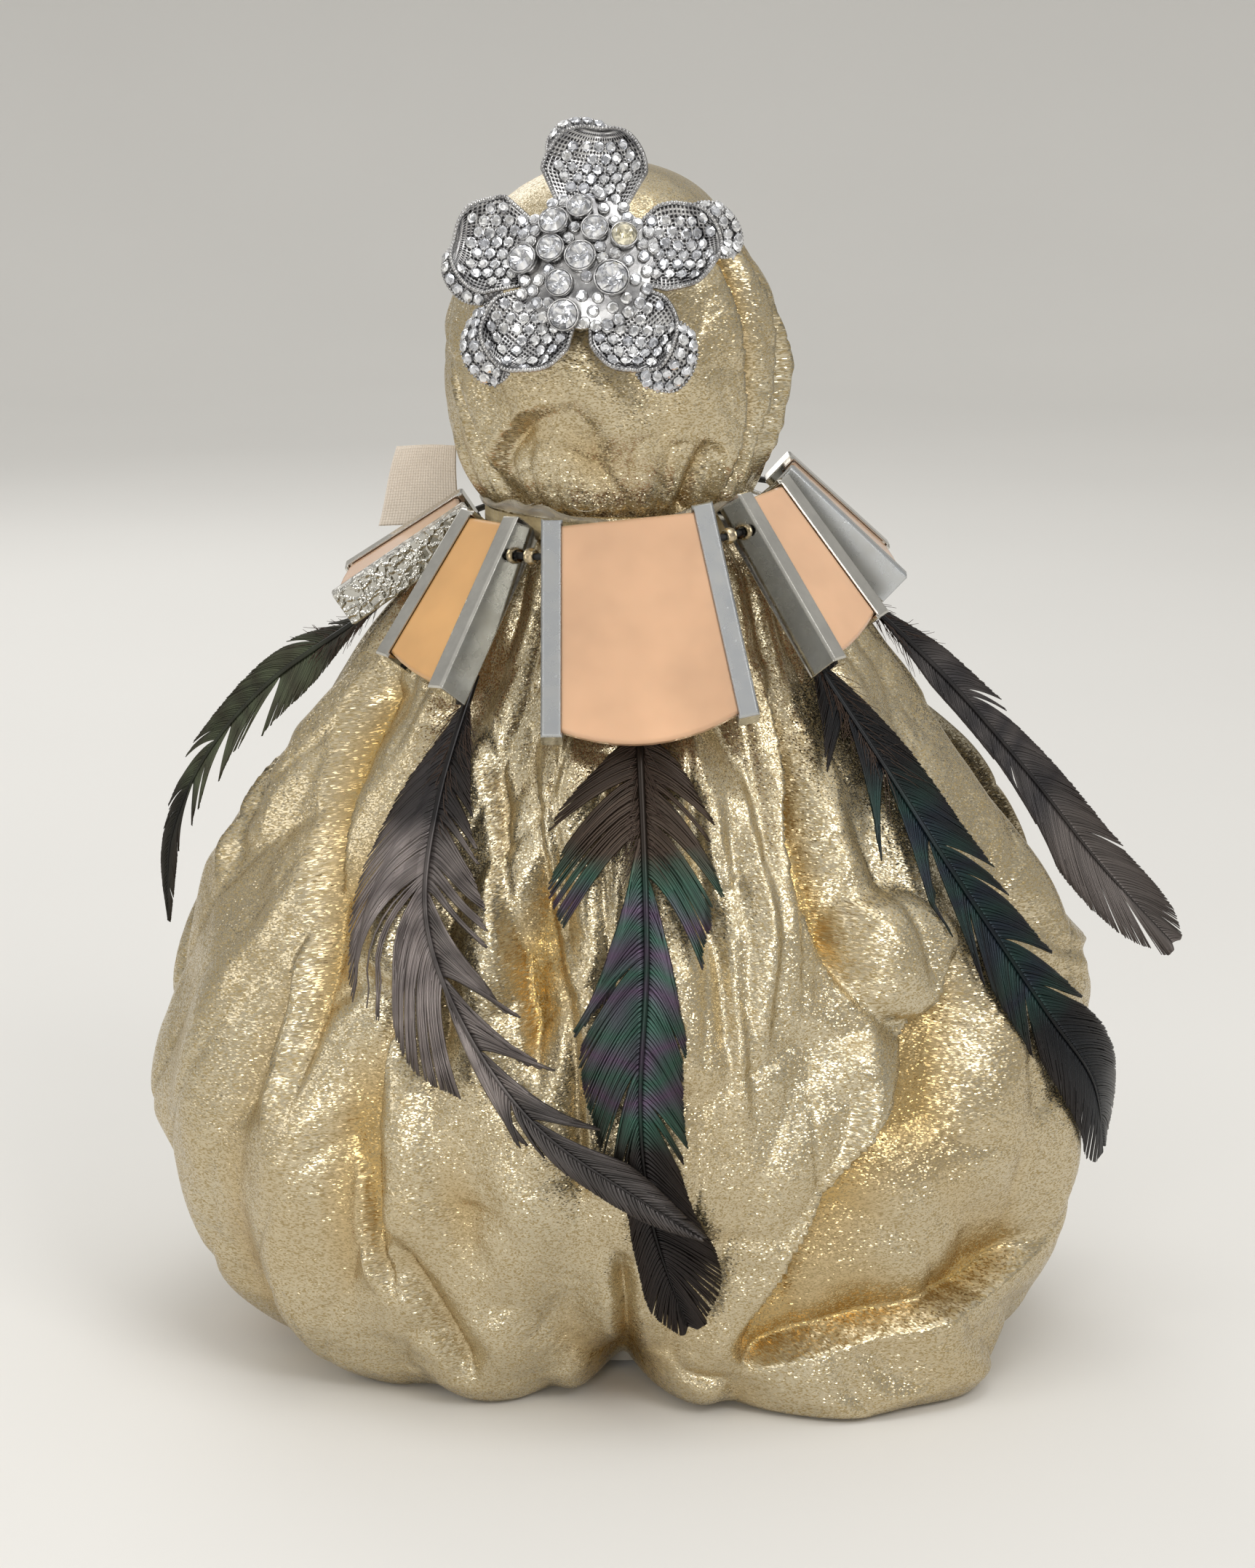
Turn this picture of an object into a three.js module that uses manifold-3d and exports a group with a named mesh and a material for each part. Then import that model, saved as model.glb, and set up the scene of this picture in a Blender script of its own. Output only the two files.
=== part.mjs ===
// Art doll: a stuffed head and bubble gown wrapped in metallic cloth on a wooden dowel, with a
// collar of inlaid pendants strung on a cord, a flower brooch on the head, and tail feathers.
// Millimetres, +Z up. The doll faces -Y and stands on the plane Z = 0 at its own axis.
import * as THREE from "three";
import { mergeVertices } from "three/addons/utils/BufferGeometryUtils.js";
import Module from "manifold-3d";

const wasm = await Module();
wasm.setup();

// Fits
const CLEARANCE = 0.3; // gap between pieces that touch

// Gown, stuffing and stand
const GOWN_HEIGHT = 205;
const GOWN_HALF_WIDTH = 116;
const GOWN_HALF_DEPTH = 84;
const BASE_HALF_WIDTH = 84;
const BASE_HALF_DEPTH = 62;
const NECK_RADIUS = 32;
const CLOTH = 1.2; // wall of the cloth pieces
const FOLD_DEPTH = 6.5; // of the deepest fold in the gown
const HEM_TUCK = 16; // depth of the tuck in the front of the hem
const PANEL_DEPTH = 4.5; // of the creases in which the gown's flat panels meet
const BOARD_THICKNESS = 3;
const BOARD_HALF_WIDTH = 58;
const BOARD_HALF_DEPTH = 36;
const DOWEL_RADIUS = 4.75;
const DOWEL_IN_HEAD = 62;

// Head
const HEAD_RADIUS = 40.7;
const HEAD_RISE = 40; // from the neck opening to the widest part of the head
const HEAD_LEAN = -2.5; // of the head, to one side
const HOOD_TUCK = 8; // length of hood inside the gown's neck
const HOOD_FOLD_DEPTH = 2.2;

// Neck band and glue
const BAND_HEIGHT = 5;
const BAND_WALL = 0.8;
const GLUE_WIDTH = 2.4;
const GLUE_WALL = 1.1;

// Collar
const COLLAR_HEIGHT_ABOVE_NECK = -2.5; // from the gown's neck opening to the cord's ring
const COLLAR_YAW = 2.5; // degrees, as worn: turned, dipped at the front and raised at one side
const COLLAR_PITCH = 5;
const COLLAR_ROLL = 5.5;
const CENTRE_CORD_RADIUS = 38; // from the axis to the cord, behind the middle pendant
const SIDE_CORD_RADIUS = 41.5;
const CORD_RADIUS = 0.8;
const CORD_HOLE_RADIUS = 1.5;
const CORD_BEHIND_MIDDLE = 1.2; // from the middle of a rail's depth to its cord hole
const BEAD_RADIUS = 2;
const BEAD_GAP = 5.4; // between neighbouring rails at the cord
const KNOT_RADIUS = 2.4;
const RAIL_WIDTH = 4.9;
const RAIL_DEPTH = 9;
const RAIL_EDGE = 0.5; // chamfer on a rail's long edges
const RAIL_ABOVE_CORD = 7;
const TILE_THICKNESS = 3.2;
const TILE_RECESS = 0.6; // from the rail's front to the tile's front
const TILE_SEAT = 0.8; // edge of the tile in the rail's groove
const TILE_DROP = 1.6; // from the rail's end to the tile's corner
const TILE_EDGE = 0.6;
const CENTRE_RAIL_LENGTH = 51;
const CENTRE_TILE_TOP = 29.5;
const CENTRE_TILE_BOTTOM = 40;
const CENTRE_TILE_BULGE = 5;
const SIDE_INNER_LENGTH = 45;
const SIDE_OUTER_LENGTH = 40;
const SIDE_TILE_TOP = 11;
const SIDE_TILE_BOTTOM = 19;
const END_INNER_LENGTH = 38;
const END_OUTER_LENGTH = 34;
const END_TILE_TOP = 10;
const END_TILE_BOTTOM = 16;
const SIDE_TILE_BULGE = 0.8;

// Feathers
const FEATHER_THICKNESS = 0.8; // half the thickness along the shaft
const VANE_EDGE = 0.2; // half the thickness at the vane's edge
const FEATHER_STANDOFF = 1.2; // shaft above the gown
const QUILL_HALF_WIDTH = 0.9;
const QUILL_UNDER_RAIL = 5; // length of quill hidden under the pendant's end

// Brooch
const BROOCH_AZIMUTH = -8; // degrees on the head, from straight ahead
const BROOCH_ELEVATION = 24;
const BROOCH_PLATE_RADIUS = 14;
const BROOCH_PLATE_THICKNESS = 1.2;
const PETAL_THICKNESS = 1;
const PETAL_START = 4.2; // from the brooch's middle to a petal's root
const PETAL_LIP = 4.5; // drop of the rolled edge
const LIP_START = 0.66; // where the roll starts, as a share of the half width
const PETAL_UNDER = 0.94; // width of a petal's back, as a share of its front
const PETAL_TIP = 0.12; // bulge of the rounded tip, as a share of the length
const CLUSTER_RADIUS = 15.5;
const CLUSTER_EDGE = 0.8; // height of the cluster's dome at its rim
const CLUSTER_RISE = 2.6; // from the rim to the dome's top
const STONE_HEIGHT = 2.3;
const PIN_RADIUS = 0.5;
const PIN_LENGTH = 29;
const PIN_HEIGHT = 2.2; // from the plate's back to the pin
const PIN_LUG = 3;

// Cloth tag
const TAG_TOP = 15;
const TAG_BOTTOM = 20;
const TAG_HEIGHT = 20;
const TAG_THICKNESS = 0.6;
const TAG_BEHIND = 14; // from the axis back to the tag

const rad = THREE.MathUtils.degToRad;
const { lerp, smoothstep, clamp } = THREE.MathUtils;

// Solids and surfaces

function toSolid(geometry) {
  const bare = geometry.clone();
  bare.deleteAttribute("normal");
  bare.deleteAttribute("uv");
  const merged = mergeVertices(bare, 1e-4);
  return new wasm.Manifold(
    new wasm.Mesh({
      numProp: 3,
      vertProperties: merged.attributes.position.array,
      triVerts: new Uint32Array(merged.index.array),
    }),
  );
}

function toGeometry(solid) {
  const mesh = solid.getMesh();
  return new THREE.BufferGeometry()
    .setAttribute("position", new THREE.BufferAttribute(mesh.vertProperties, 3))
    .setIndex(new THREE.BufferAttribute(mesh.triVerts, 1));
}

function cut(geometry, ...tools) {
  return toGeometry(tools.reduce((solid, tool) => solid.subtract(toSolid(tool)), toSolid(geometry)));
}

// The end of a loft closed by triangles round its middle.
function fanCap(points, start, count) {
  const ring = points.slice(start, start + count);
  const middle = ring.reduce((sum, p) => sum.add(p), new THREE.Vector3()).divideScalar(count);
  const hub = points.push(middle) - 1;
  return ring.map((_, j) => [hub, start + j, start + ((j + 1) % count)]);
}

// The end of a loft of thin sections, closed by rungs from the upper face to the lower one.
function rungCap(points, start, count) {
  const rungs = Array.from({ length: count / 2 - 1 }, (_, j) => j);
  return rungs.flatMap((j) => {
    const [a, b, c, d] = [j, j + 1, count - 2 - j, count - 1 - j].map((k) => start + k);
    return [[a, b, c], [a, c, d]];
  });
}

// A closed skin over a stack of rings with equal numbers of points, its two ends closed by fans.
function loft(rings, cap = fanCap) {
  const count = rings[0].length;
  const points = rings.flat();
  const index = [];
  for (let i = 0; i < rings.length - 1; i++) {
    for (let j = 0; j < count; j++) {
      const a = i * count + j;
      const b = i * count + ((j + 1) % count);
      index.push(a, b, b + count, a, b + count, a + count);
    }
  }
  for (const start of [0, (rings.length - 1) * count]) {
    for (const corners of cap(points, start, count)) index.push(...(start ? corners : corners.reverse()));
  }
  let volume = 0;
  for (let i = 0; i < index.length; i += 3) {
    const [a, b, c] = index.slice(i, i + 3).map((k) => points[k]);
    volume += a.dot(b.clone().cross(c));
  }
  if (volume < 0) index.reverse();
  return new THREE.BufferGeometry().setFromPoints(points).setIndex(index);
}

// A radius as a function of height, on a smooth curve through [height, radius] points.
function profile(points) {
  const curve = new THREE.SplineCurve(points.map(([z, r]) => new THREE.Vector2(z, r)));
  const samples = curve.getPoints(120);
  return (height) => {
    const z = clamp(height, samples[0].x, samples.at(-1).x);
    const i = Math.max(1, samples.findIndex((p) => p.x >= z));
    const [a, b] = [samples[i - 1], samples[i]];
    return lerp(a.y, b.y, clamp((z - a.x) / (b.x - a.x || 1), 0, 1));
  };
}

// A point at an azimuth from straight ahead, seen from above, to the doll's left-hand side.
function around(azimuth, radius, height) {
  return new THREE.Vector3(radius * Math.sin(azimuth), -radius * Math.cos(azimuth), height);
}

function ring(radiusAt, height, count) {
  return Array.from({ length: count }, (_, j) => {
    const azimuth = (2 * Math.PI * j) / count;
    return around(azimuth, radiusAt(azimuth, height), height);
  });
}

function rod(radius, length, sides) {
  return new THREE.CylinderGeometry(radius, radius, length, sides).rotateZ(Math.PI / 2);
}

// A polygon in X and Z, given a thickness from front to back along Y, with its edges chamfered.
function plate(corners, front, back, chamfer) {
  const shape = new THREE.Shape(corners.map(([x, z]) => new THREE.Vector2(x, z)));
  return new THREE.ExtrudeGeometry(shape, {
    depth: back - front - 2 * chamfer,
    bevelEnabled: chamfer > 0,
    bevelThickness: chamfer,
    bevelSize: chamfer,
    bevelOffset: -chamfer,
    bevelSegments: 1,
  })
    .rotateX(Math.PI / 2)
    .translate(0, back - chamfer, 0);
}

const COLOURS = {
  lame: [0xc9b076, 0.35, 0.9],
  stuffing: [0xf2efe6, 0.95, 0],
  foam: [0xf4f4f0, 0.9, 0],
  wood: [0xc79a63, 0.7, 0],
  card: [0xb79a74, 0.9, 0],
  elastic: [0xd9d3c6, 0.8, 0],
  glue: [0xe6e0d0, 0.3, 0],
  resin: [0xf0b48c, 0.25, 0],
  silver: [0xc6c9cc, 0.25, 1],
  gold: [0xd8b978, 0.25, 1],
  cord: [0x3a3733, 0.7, 0],
  crystal: [0xeef2f6, 0.05, 0],
  feather: [0x17181c, 0.5, 0],
  tag: [0xe6d9c6, 0.9, 0],
};

function mesh(name, colour, geometry) {
  const [color, roughness, metalness] = COLOURS[colour];
  const made = new THREE.Mesh(geometry, new THREE.MeshStandardMaterial({ color, roughness, metalness }));
  made.name = name;
  return made;
}

const doll = new THREE.Group();

// Gown: the outer envelope, and the folds that sink below it

const BAND_FOOT = GOWN_HEIGHT - BAND_HEIGHT - 2 * CLEARANCE;
const sideProfile = profile([
  [0, BASE_HALF_WIDTH],
  [0.1 * GOWN_HEIGHT, 0.89 * GOWN_HALF_WIDTH],
  [0.3 * GOWN_HEIGHT, GOWN_HALF_WIDTH],
  [0.52 * GOWN_HEIGHT, 0.94 * GOWN_HALF_WIDTH],
  [0.67 * GOWN_HEIGHT, 0.81 * GOWN_HALF_WIDTH],
  [0.82 * GOWN_HEIGHT, 0.58 * GOWN_HALF_WIDTH],
  [0.92 * GOWN_HEIGHT, 0.42 * GOWN_HALF_WIDTH],
  [BAND_FOOT, NECK_RADIUS],
  [GOWN_HEIGHT, NECK_RADIUS],
]);
const frontProfile = profile([
  [0, BASE_HALF_DEPTH],
  [0.1 * GOWN_HEIGHT, 0.86 * GOWN_HALF_DEPTH],
  [0.3 * GOWN_HEIGHT, GOWN_HALF_DEPTH],
  [0.52 * GOWN_HEIGHT, 0.92 * GOWN_HALF_DEPTH],
  [0.67 * GOWN_HEIGHT, 0.76 * GOWN_HALF_DEPTH],
  [0.79 * GOWN_HEIGHT, 0.58 * GOWN_HALF_DEPTH],
  [0.9 * GOWN_HEIGHT, 0.44 * GOWN_HALF_DEPTH],
  [BAND_FOOT, NECK_RADIUS],
  [GOWN_HEIGHT, NECK_RADIUS],
]);

// The plan outline's exponent: 2 is an ellipse, as at the neck. The foot is squarer and the shoulders
// are drawn in.
const FOOT_ROUNDNESS = 2.6;
const SHOULDER_ROUNDNESS = 1.55;

// How far round an azimuth is from a direction in degrees, and a swelling about that direction.
const turnFrom = (azimuth, degrees) => {
  const away = azimuth - rad(degrees);
  return Math.atan2(Math.sin(away), Math.cos(away));
};
const swelling = (azimuth, degrees, width) => Math.exp(-((turnFrom(azimuth, degrees) / rad(width)) ** 2));

// The stuffed hem sags to the floor in lobes. Each one's direction, half width in degrees, and how far the
// outline at the top of the lobes is carried down to the floor.
const LOBE_HEIGHT = 0.22 * GOWN_HEIGHT;
const lobes = [[42, 28, 0.85], [-30, 16, 0.15], [130, 26, 0.3], [215, 26, 0.3]];

function envelope(azimuth, height) {
  const t = height / GOWN_HEIGHT;
  const drawn = lerp(FOOT_ROUNDNESS, SHOULDER_ROUNDNESS, smoothstep(t, 0, 0.8));
  const power = lerp(drawn, 2, smoothstep(t, 0.85, 0.97));
  const full = lobes.reduce((sum, [at, width, share]) => sum + share * swelling(azimuth, at, width), 0);
  const level = height + Math.max(0, LOBE_HEIGHT - height) * Math.min(1, full);
  const across = Math.abs(Math.sin(azimuth)) / sideProfile(level);
  const along = Math.abs(Math.cos(azimuth)) / frontProfile(level);
  return (across ** power + along ** power) ** (-1 / power);
}

// Each fold: its share of the full depth, its reach to the left and right of its line as shares of the gown's
// half width, and the line as directions in degrees and shares of the height. Those of the back come last.
const folds = [
  { share: 0.95, reach: [0.04, 0.14], line: [[-79, 0.87], [-68, 0.695], [-53.5, 0.51], [-51, 0.27]] },
  { share: 0.6, reach: [0.04, 0.1], line: [[-44.6, 0.34], [-40, 0.21], [-34, 0.12], [-29.6, 0.06]] },
  { share: 0.65, reach: [0.04, 0.08], line: [[-38.5, 0.78], [-22, 0.58], [-12, 0.36]] },
  { share: 0.4, reach: [0.07, 0.05], line: [[16.7, 0.77], [17, 0.55], [17, 0.36]] },
  { share: 1, reach: [0.04, 0.12], line: [[54, 0.85], [41.4, 0.71], [36.5, 0.64], [36, 0.58], [44, 0.46]] },
  { share: 0.75, reach: [0.04, 0.18], line: [[60, 0.55], [43, 0.36], [33, 0.26], [20, 0.08]] },
  { share: 0.9, reach: [0.08, 0.05], line: [[68, 0.17], [55, 0.137], [41, 0.12], [20, 0.06]] },
  { share: 0.9, reach: [0.06, 0.06], line: [[-0.6, 0.24], [0.8, 0.11], [1.5, -0.02]] },
  { share: 0.8, reach: [0.08, 0.06], line: [[92, 0.82], [93, 0.54], [95, 0.22]] },
  { share: 1, reach: [0.06, 0.1], line: [[126, 0.87], [121, 0.58], [117, 0.18]] },
  { share: 0.9, reach: [0.1, 0.06], line: [[154, 0.88], [150, 0.62], [145, 0.25]] },
  { share: 1, reach: [0.06, 0.06], line: [[181, 0.87], [179, 0.58], [175, 0.16]] },
  { share: 0.9, reach: [0.06, 0.1], line: [[206, 0.88], [210, 0.6], [214, 0.25]] },
  { share: 1, reach: [0.1, 0.06], line: [[236, 0.87], [239, 0.56], [243, 0.2]] },
  { share: 0.6, reach: [0.06, 0.08], line: [[264, 0.8], [268, 0.6], [272, 0.36]] },
];

// How much of a fold's depth is at a spot: less with the distance to its line on the unrolled cloth, and
// nothing at the line's two ends.
function foldShare({ share, reach, line }, azimuth, height) {
  const points = line.map(([degrees, up]) => {
    return new THREE.Vector2(rad(degrees - line[0][0]) * GOWN_HALF_WIDTH, up * GOWN_HEIGHT);
  });
  const spot = new THREE.Vector2(turnFrom(azimuth, line[0][0]) * GOWN_HALF_WIDTH, height);
  const stretches = points.slice(1).map((end, i) => {
    const run = end.clone().sub(points[i]);
    const from = spot.clone().sub(points[i]);
    const along = clamp(from.dot(run) / run.lengthSq(), 0, 1);
    const away = from.distanceTo(run.clone().multiplyScalar(along));
    return { away, at: (i + along) / (points.length - 1), side: run.cross(from) < 0 ? 0 : 1 };
  });
  const { away, at, side } = stretches.reduce((best, next) => (next.away < best.away ? next : best));
  const ends = smoothstep(at, 0, 0.2) * (1 - smoothstep(at, 0.8, 1));
  return share * ends * Math.exp(-((away / (reach[side] * GOWN_HALF_WIDTH)) ** 1.5));
}

// Between the folds the cloth lies in flat panels that meet in creases. How many there are round the gown, how far
// a crease sways as shares of a panel, and how much of the full depth is at a spot.
const PANELS = 15;
const PANEL_SWAY = [0.32, 0.22];
function panelShare(azimuth, height) {
  const t = height / GOWN_HEIGHT;
  const sway = PANEL_SWAY[0] * Math.sin(3 * azimuth + 5 * t) + PANEL_SWAY[1] * Math.sin(5 * azimuth - 7 * t);
  const place = (PANELS * azimuth) / (2 * Math.PI) + sway;
  const crease = Math.abs(2 * (place - Math.floor(place)) - 1);
  const strength = 0.72 + 0.28 * Math.sin(4 * azimuth - 6 * t);
  return crease * strength * smoothstep(t, 0, 0.2) * (1 - smoothstep(t, 0.6, 0.88));
}

// The tuck in the hem: its direction and half width in degrees, and its top as a share of the height.
const TUCK_DIRECTION = -1;
const TUCK_HALF_WIDTH = 7;
const TUCK_TOP = 0.16;

function gownOutside(azimuth, height) {
  const t = height / GOWN_HEIGHT;
  const shares = folds.reduce((sum, fold) => sum + foldShare(fold, azimuth, height), 0);
  const sink = FOLD_DEPTH * Math.min(1.2, shares) * (1 - smoothstep(t, 0.85, 0.97));
  const pinched = swelling(azimuth, TUCK_DIRECTION, TUCK_HALF_WIDTH);
  const tuck = HEM_TUCK * pinched * (1 - smoothstep(t, 0, TUCK_TOP));
  return envelope(azimuth, height) - sink - tuck - PANEL_DEPTH * panelShare(azimuth, height);
}

const gownInside = (azimuth, height) => gownOutside(azimuth, height) - CLOTH;
const boardFoot = CLOTH + CLEARANCE;
const boardTop = boardFoot + BOARD_THICKNESS;
const hoodFoot = GOWN_HEIGHT - HOOD_TUCK;
const stuffingFoot = boardTop + CLEARANCE;
const stuffingTop = hoodFoot - CLEARANCE;
const GOWN_LEVELS = [
  0.06, 0.1, 0.14, 0.19, 0.25, 0.31, 0.37, 0.44, 0.5, 0.56, 0.62, 0.68, 0.74, 0.8, 0.85, 0.9,
];
const gownHeights = [
  0,
  stuffingFoot,
  ...GOWN_LEVELS.map((t) => t * GOWN_HEIGHT),
  stuffingTop,
  BAND_FOOT,
  GOWN_HEIGHT,
];
const GOWN_SEGMENTS = 72;
const HUB_RADIUS = DOWEL_RADIUS + CLEARANCE;

function makeGown() {
  const skin = loft(gownHeights.map((z) => ring(gownOutside, z, GOWN_SEGMENTS)));
  const levels = [CLOTH, ...gownHeights.slice(1), GOWN_HEIGHT + CLOTH];
  const room = loft(levels.map((z) => ring(gownInside, z, GOWN_SEGMENTS)));
  return mesh("gown", "lame", cut(skin, room));
}

// Inside the gown: base board, dowel and stuffing

const headHeight = GOWN_HEIGHT + HEAD_RISE;
const dowelTop = hoodFoot + DOWEL_IN_HEAD;

function dowelBore() {
  return new THREE.CylinderGeometry(HUB_RADIUS, HUB_RADIUS, 4 * GOWN_HEIGHT, 16).rotateX(Math.PI / 2);
}

function makeBoard() {
  const outline = (a) => 1 / Math.hypot(Math.sin(a) / BOARD_HALF_WIDTH, Math.cos(a) / BOARD_HALF_DEPTH);
  const disc = loft([boardFoot, boardTop].map((z) => ring(outline, z, 32)));
  return mesh("base_board", "card", cut(disc, dowelBore()));
}

function makeDowel() {
  const length = dowelTop - boardFoot;
  const stick = new THREE.CylinderGeometry(DOWEL_RADIUS, DOWEL_RADIUS, length, 12).rotateX(Math.PI / 2);
  return mesh("dowel", "wood", stick.translate(0, 0, boardFoot + length / 2));
}

function makeStuffing() {
  const levels = gownHeights.filter((z) => z >= stuffingFoot && z <= stuffingTop);
  const within = (azimuth, height) => gownInside(azimuth, height) - 2 * CLEARANCE;
  const sack = loft(levels.map((z) => ring(within, z, GOWN_SEGMENTS)));
  return mesh("stuffing", "stuffing", cut(sack, dowelBore()));
}

// Head: a foam egg under a hood of the same cloth, tucked into the gown's neck

const tuckRadius = NECK_RADIUS - CLOTH - CLEARANCE;

// A ring of the head, moved aside as the head leans over the neck.
function headRing(radiusAt, height, count) {
  const lean = HEAD_LEAN * smoothstep(height, GOWN_HEIGHT, headHeight);
  return ring(radiusAt, height, count).map((p) => p.setX(p.x + lean));
}

function hoodRadius(height) {
  if (height >= headHeight) {
    return Math.sqrt(Math.max(0, HEAD_RADIUS ** 2 - (height - headHeight) ** 2));
  }
  const down = clamp((headHeight - height) / HEAD_RISE, 0, 1);
  return tuckRadius + (HEAD_RADIUS - tuckRadius) * (1 - down ** 2) ** 0.9;
}

// Two gathers of cloth run down one side of the head, and a softer one down the other.
function hoodFold(azimuth, height) {
  const t = (height - GOWN_HEIGHT) / (HEAD_RISE + HEAD_RADIUS);
  const fade = smoothstep(t, 0.05, 0.35) * (1 - smoothstep(t, 0.6, 0.95));
  const groove = (at, width) => {
    const away = Math.abs(azimuth - rad(at));
    return Math.exp(-((Math.min(away, 2 * Math.PI - away) / rad(width)) ** 2));
  };
  return HOOD_FOLD_DEPTH * fade * (groove(68, 7) + groove(98, 8) + 0.6 * groove(288, 9));
}

const HEAD_LEVELS = [0, 0.09, 0.2, 0.34, 0.5, 0.64, 0.77, 0.87, 0.94, 0.985];
const hoodHeights = HEAD_LEVELS.map((t) => GOWN_HEIGHT + t * (HEAD_RISE + HEAD_RADIUS));

function makeHood() {
  const outside = (azimuth, height) => hoodRadius(height) - hoodFold(azimuth, height);
  const inside = (azimuth, height) => outside(azimuth, height) - CLOTH;
  const crown = hoodHeights.at(-1);
  const insideCrown = headRing((a) => 0.7 * outside(a, crown), crown - CLOTH, 32);
  const levels = [hoodFoot, ...hoodHeights];
  const outer = levels.map((z) => headRing(outside, z, 32));
  const inner = levels.slice(0, -1).map((z) => headRing(inside, z, 32));
  return mesh("head_hood", "lame", loft([insideCrown, ...inner.reverse(), ...outer]));
}

function makeHeadCore() {
  const inset = CLOTH + HOOD_FOLD_DEPTH + CLEARANCE;
  const crown = headHeight + HEAD_RADIUS - inset;
  const foot = hoodFoot + CLEARANCE;
  const rise = (i) => Math.sin((Math.PI / 2) * (i / 8.3)) ** 1.2;
  const levels = Array.from({ length: 9 }, (_, i) => foot + (crown - foot) * rise(i));
  const radius = (azimuth, height) => Math.max(2, hoodRadius(height + inset * 0.4) - inset);
  const egg = loft(levels.map((z) => headRing(radius, z, 24)));
  const socket = new THREE.CylinderGeometry(HUB_RADIUS, HUB_RADIUS, DOWEL_IN_HEAD, 16).rotateX(Math.PI / 2);
  socket.translate(0, 0, dowelTop + CLEARANCE - DOWEL_IN_HEAD / 2);
  return mesh("head_core", "foam", cut(egg, socket));
}

// Neck: an elastic band gathers the gown, and a bead of hot glue lies on top of it

const bandInside = NECK_RADIUS + CLEARANCE;
const bandOutside = bandInside + BAND_WALL;
const bandTop = GOWN_HEIGHT - CLEARANCE;

function lathe(points, segments) {
  const outline = [...points, points[0]].map(([r, z]) => new THREE.Vector2(r, z));
  return new THREE.LatheGeometry(outline, segments).rotateX(Math.PI / 2);
}

function makeBand() {
  const foot = bandTop - BAND_HEIGHT;
  const section = [[bandInside, foot], [bandOutside, foot], [bandOutside, bandTop], [bandInside, bandTop]];
  return mesh("neck_band", "elastic", lathe(section, 36));
}

function makeGlue() {
  const foot = bandTop + CLEARANCE;
  const head = foot + GLUE_WIDTH;
  const inside = Math.max(hoodRadius(head), NECK_RADIUS) + CLEARANCE;
  const outside = inside + GLUE_WALL;
  const shoulder = outside - GLUE_WALL / 3;
  const section = [
    [inside, foot],
    [shoulder, foot],
    [outside, foot + GLUE_WIDTH / 2],
    [shoulder, head],
    [inside, head],
  ];
  return mesh("glue_bead", "glue", lathe(section, 36));
}

// Collar: five pendants, each a tile of resin between two metal rails that turn on the cord

const railFront = -CORD_BEHIND_MIDDLE - RAIL_DEPTH / 2;
const railBack = railFront + RAIL_DEPTH;

// A pendant at one side: how far it is propped up from the gown in degrees, its tile's widths and its
// rails' lengths.
function sidePendant(name, side, propped, top, bottom, inner, outer) {
  const rails = side < 0 ? { left: outer, right: inner } : { left: inner, right: outer };
  return { name, side, propped, radius: SIDE_CORD_RADIUS, top, bottom, bulge: SIDE_TILE_BULGE, rails };
}

const pendants = [
  {
    name: "centre",
    propped: 0,
    radius: CENTRE_CORD_RADIUS,
    top: CENTRE_TILE_TOP,
    bottom: CENTRE_TILE_BOTTOM,
    bulge: CENTRE_TILE_BULGE,
    rails: { left: CENTRE_RAIL_LENGTH, right: CENTRE_RAIL_LENGTH },
  },
  sidePendant("left", -1, 0, SIDE_TILE_TOP, SIDE_TILE_BOTTOM, SIDE_INNER_LENGTH, SIDE_OUTER_LENGTH),
  sidePendant("right", 1, 9, SIDE_TILE_TOP, SIDE_TILE_BOTTOM, SIDE_INNER_LENGTH, SIDE_OUTER_LENGTH),
  sidePendant("left_end", -1, 0, END_TILE_TOP, END_TILE_BOTTOM, END_INNER_LENGTH, END_OUTER_LENGTH),
  sidePendant("right_end", 1, 8, END_TILE_TOP, END_TILE_BOTTOM, END_INNER_LENGTH, END_OUTER_LENGTH),
];
const pendantCalled = Object.fromEntries(pendants.map((p) => [p.name, p]));

// A rail's inner top corner, the way down its length and the way out from the tile.
function railLine(pendant, side) {
  const length = Math.max(pendant.rails.left, pendant.rails.right);
  const flare = Math.atan2((pendant.bottom - pendant.top) / 2, length);
  return {
    start: new THREE.Vector2((side * pendant.top) / 2, RAIL_ABOVE_CORD),
    down: new THREE.Vector2(side * Math.sin(flare), -Math.cos(flare)),
    out: new THREE.Vector2(side * Math.cos(flare), Math.sin(flare)),
    length: side < 0 ? pendant.rails.left : pendant.rails.right,
  };
}

function railCorners(pendant, side) {
  const { start, down, out, length } = railLine(pendant, side);
  const at = (along, away) => start.clone().addScaledVector(down, along).addScaledVector(out, away);
  const points = [at(0, 0), at(0, RAIL_WIDTH), at(length, RAIL_WIDTH), at(length, 0)];
  const corners = points.map((p) => p.toArray());
  return side < 0 ? corners : corners.reverse();
}

// The tile's outline: its sides lie in the rails' grooves, and its foot is an arc.
function tileCorners(pendant, grow) {
  const corner = (side, along) => {
    const { start, down, out } = railLine(pendant, side);
    return start.clone().addScaledVector(down, along).addScaledVector(out, TILE_SEAT + grow);
  };
  const foot = (side) => corner(side, railLine(pendant, side).length - TILE_DROP + grow);
  const [left, right] = [foot(-1), foot(1)];
  const sag = left.clone().add(right).multiplyScalar(0.5).add(new THREE.Vector2(0, -2 * pendant.bulge));
  const arc = new THREE.QuadraticBezierCurve(left, sag, right).getPoints(pendant.bulge > 1 ? 10 : 4);
  return [...arc, corner(1, TILE_DROP - grow), corner(-1, TILE_DROP - grow)].map((p) => p.toArray());
}

function tileSolid(pendant, grow) {
  const front = railFront + TILE_RECESS - grow;
  return plate(tileCorners(pendant, grow), front, front + TILE_THICKNESS + 2 * grow, grow ? 0 : TILE_EDGE);
}

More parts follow.
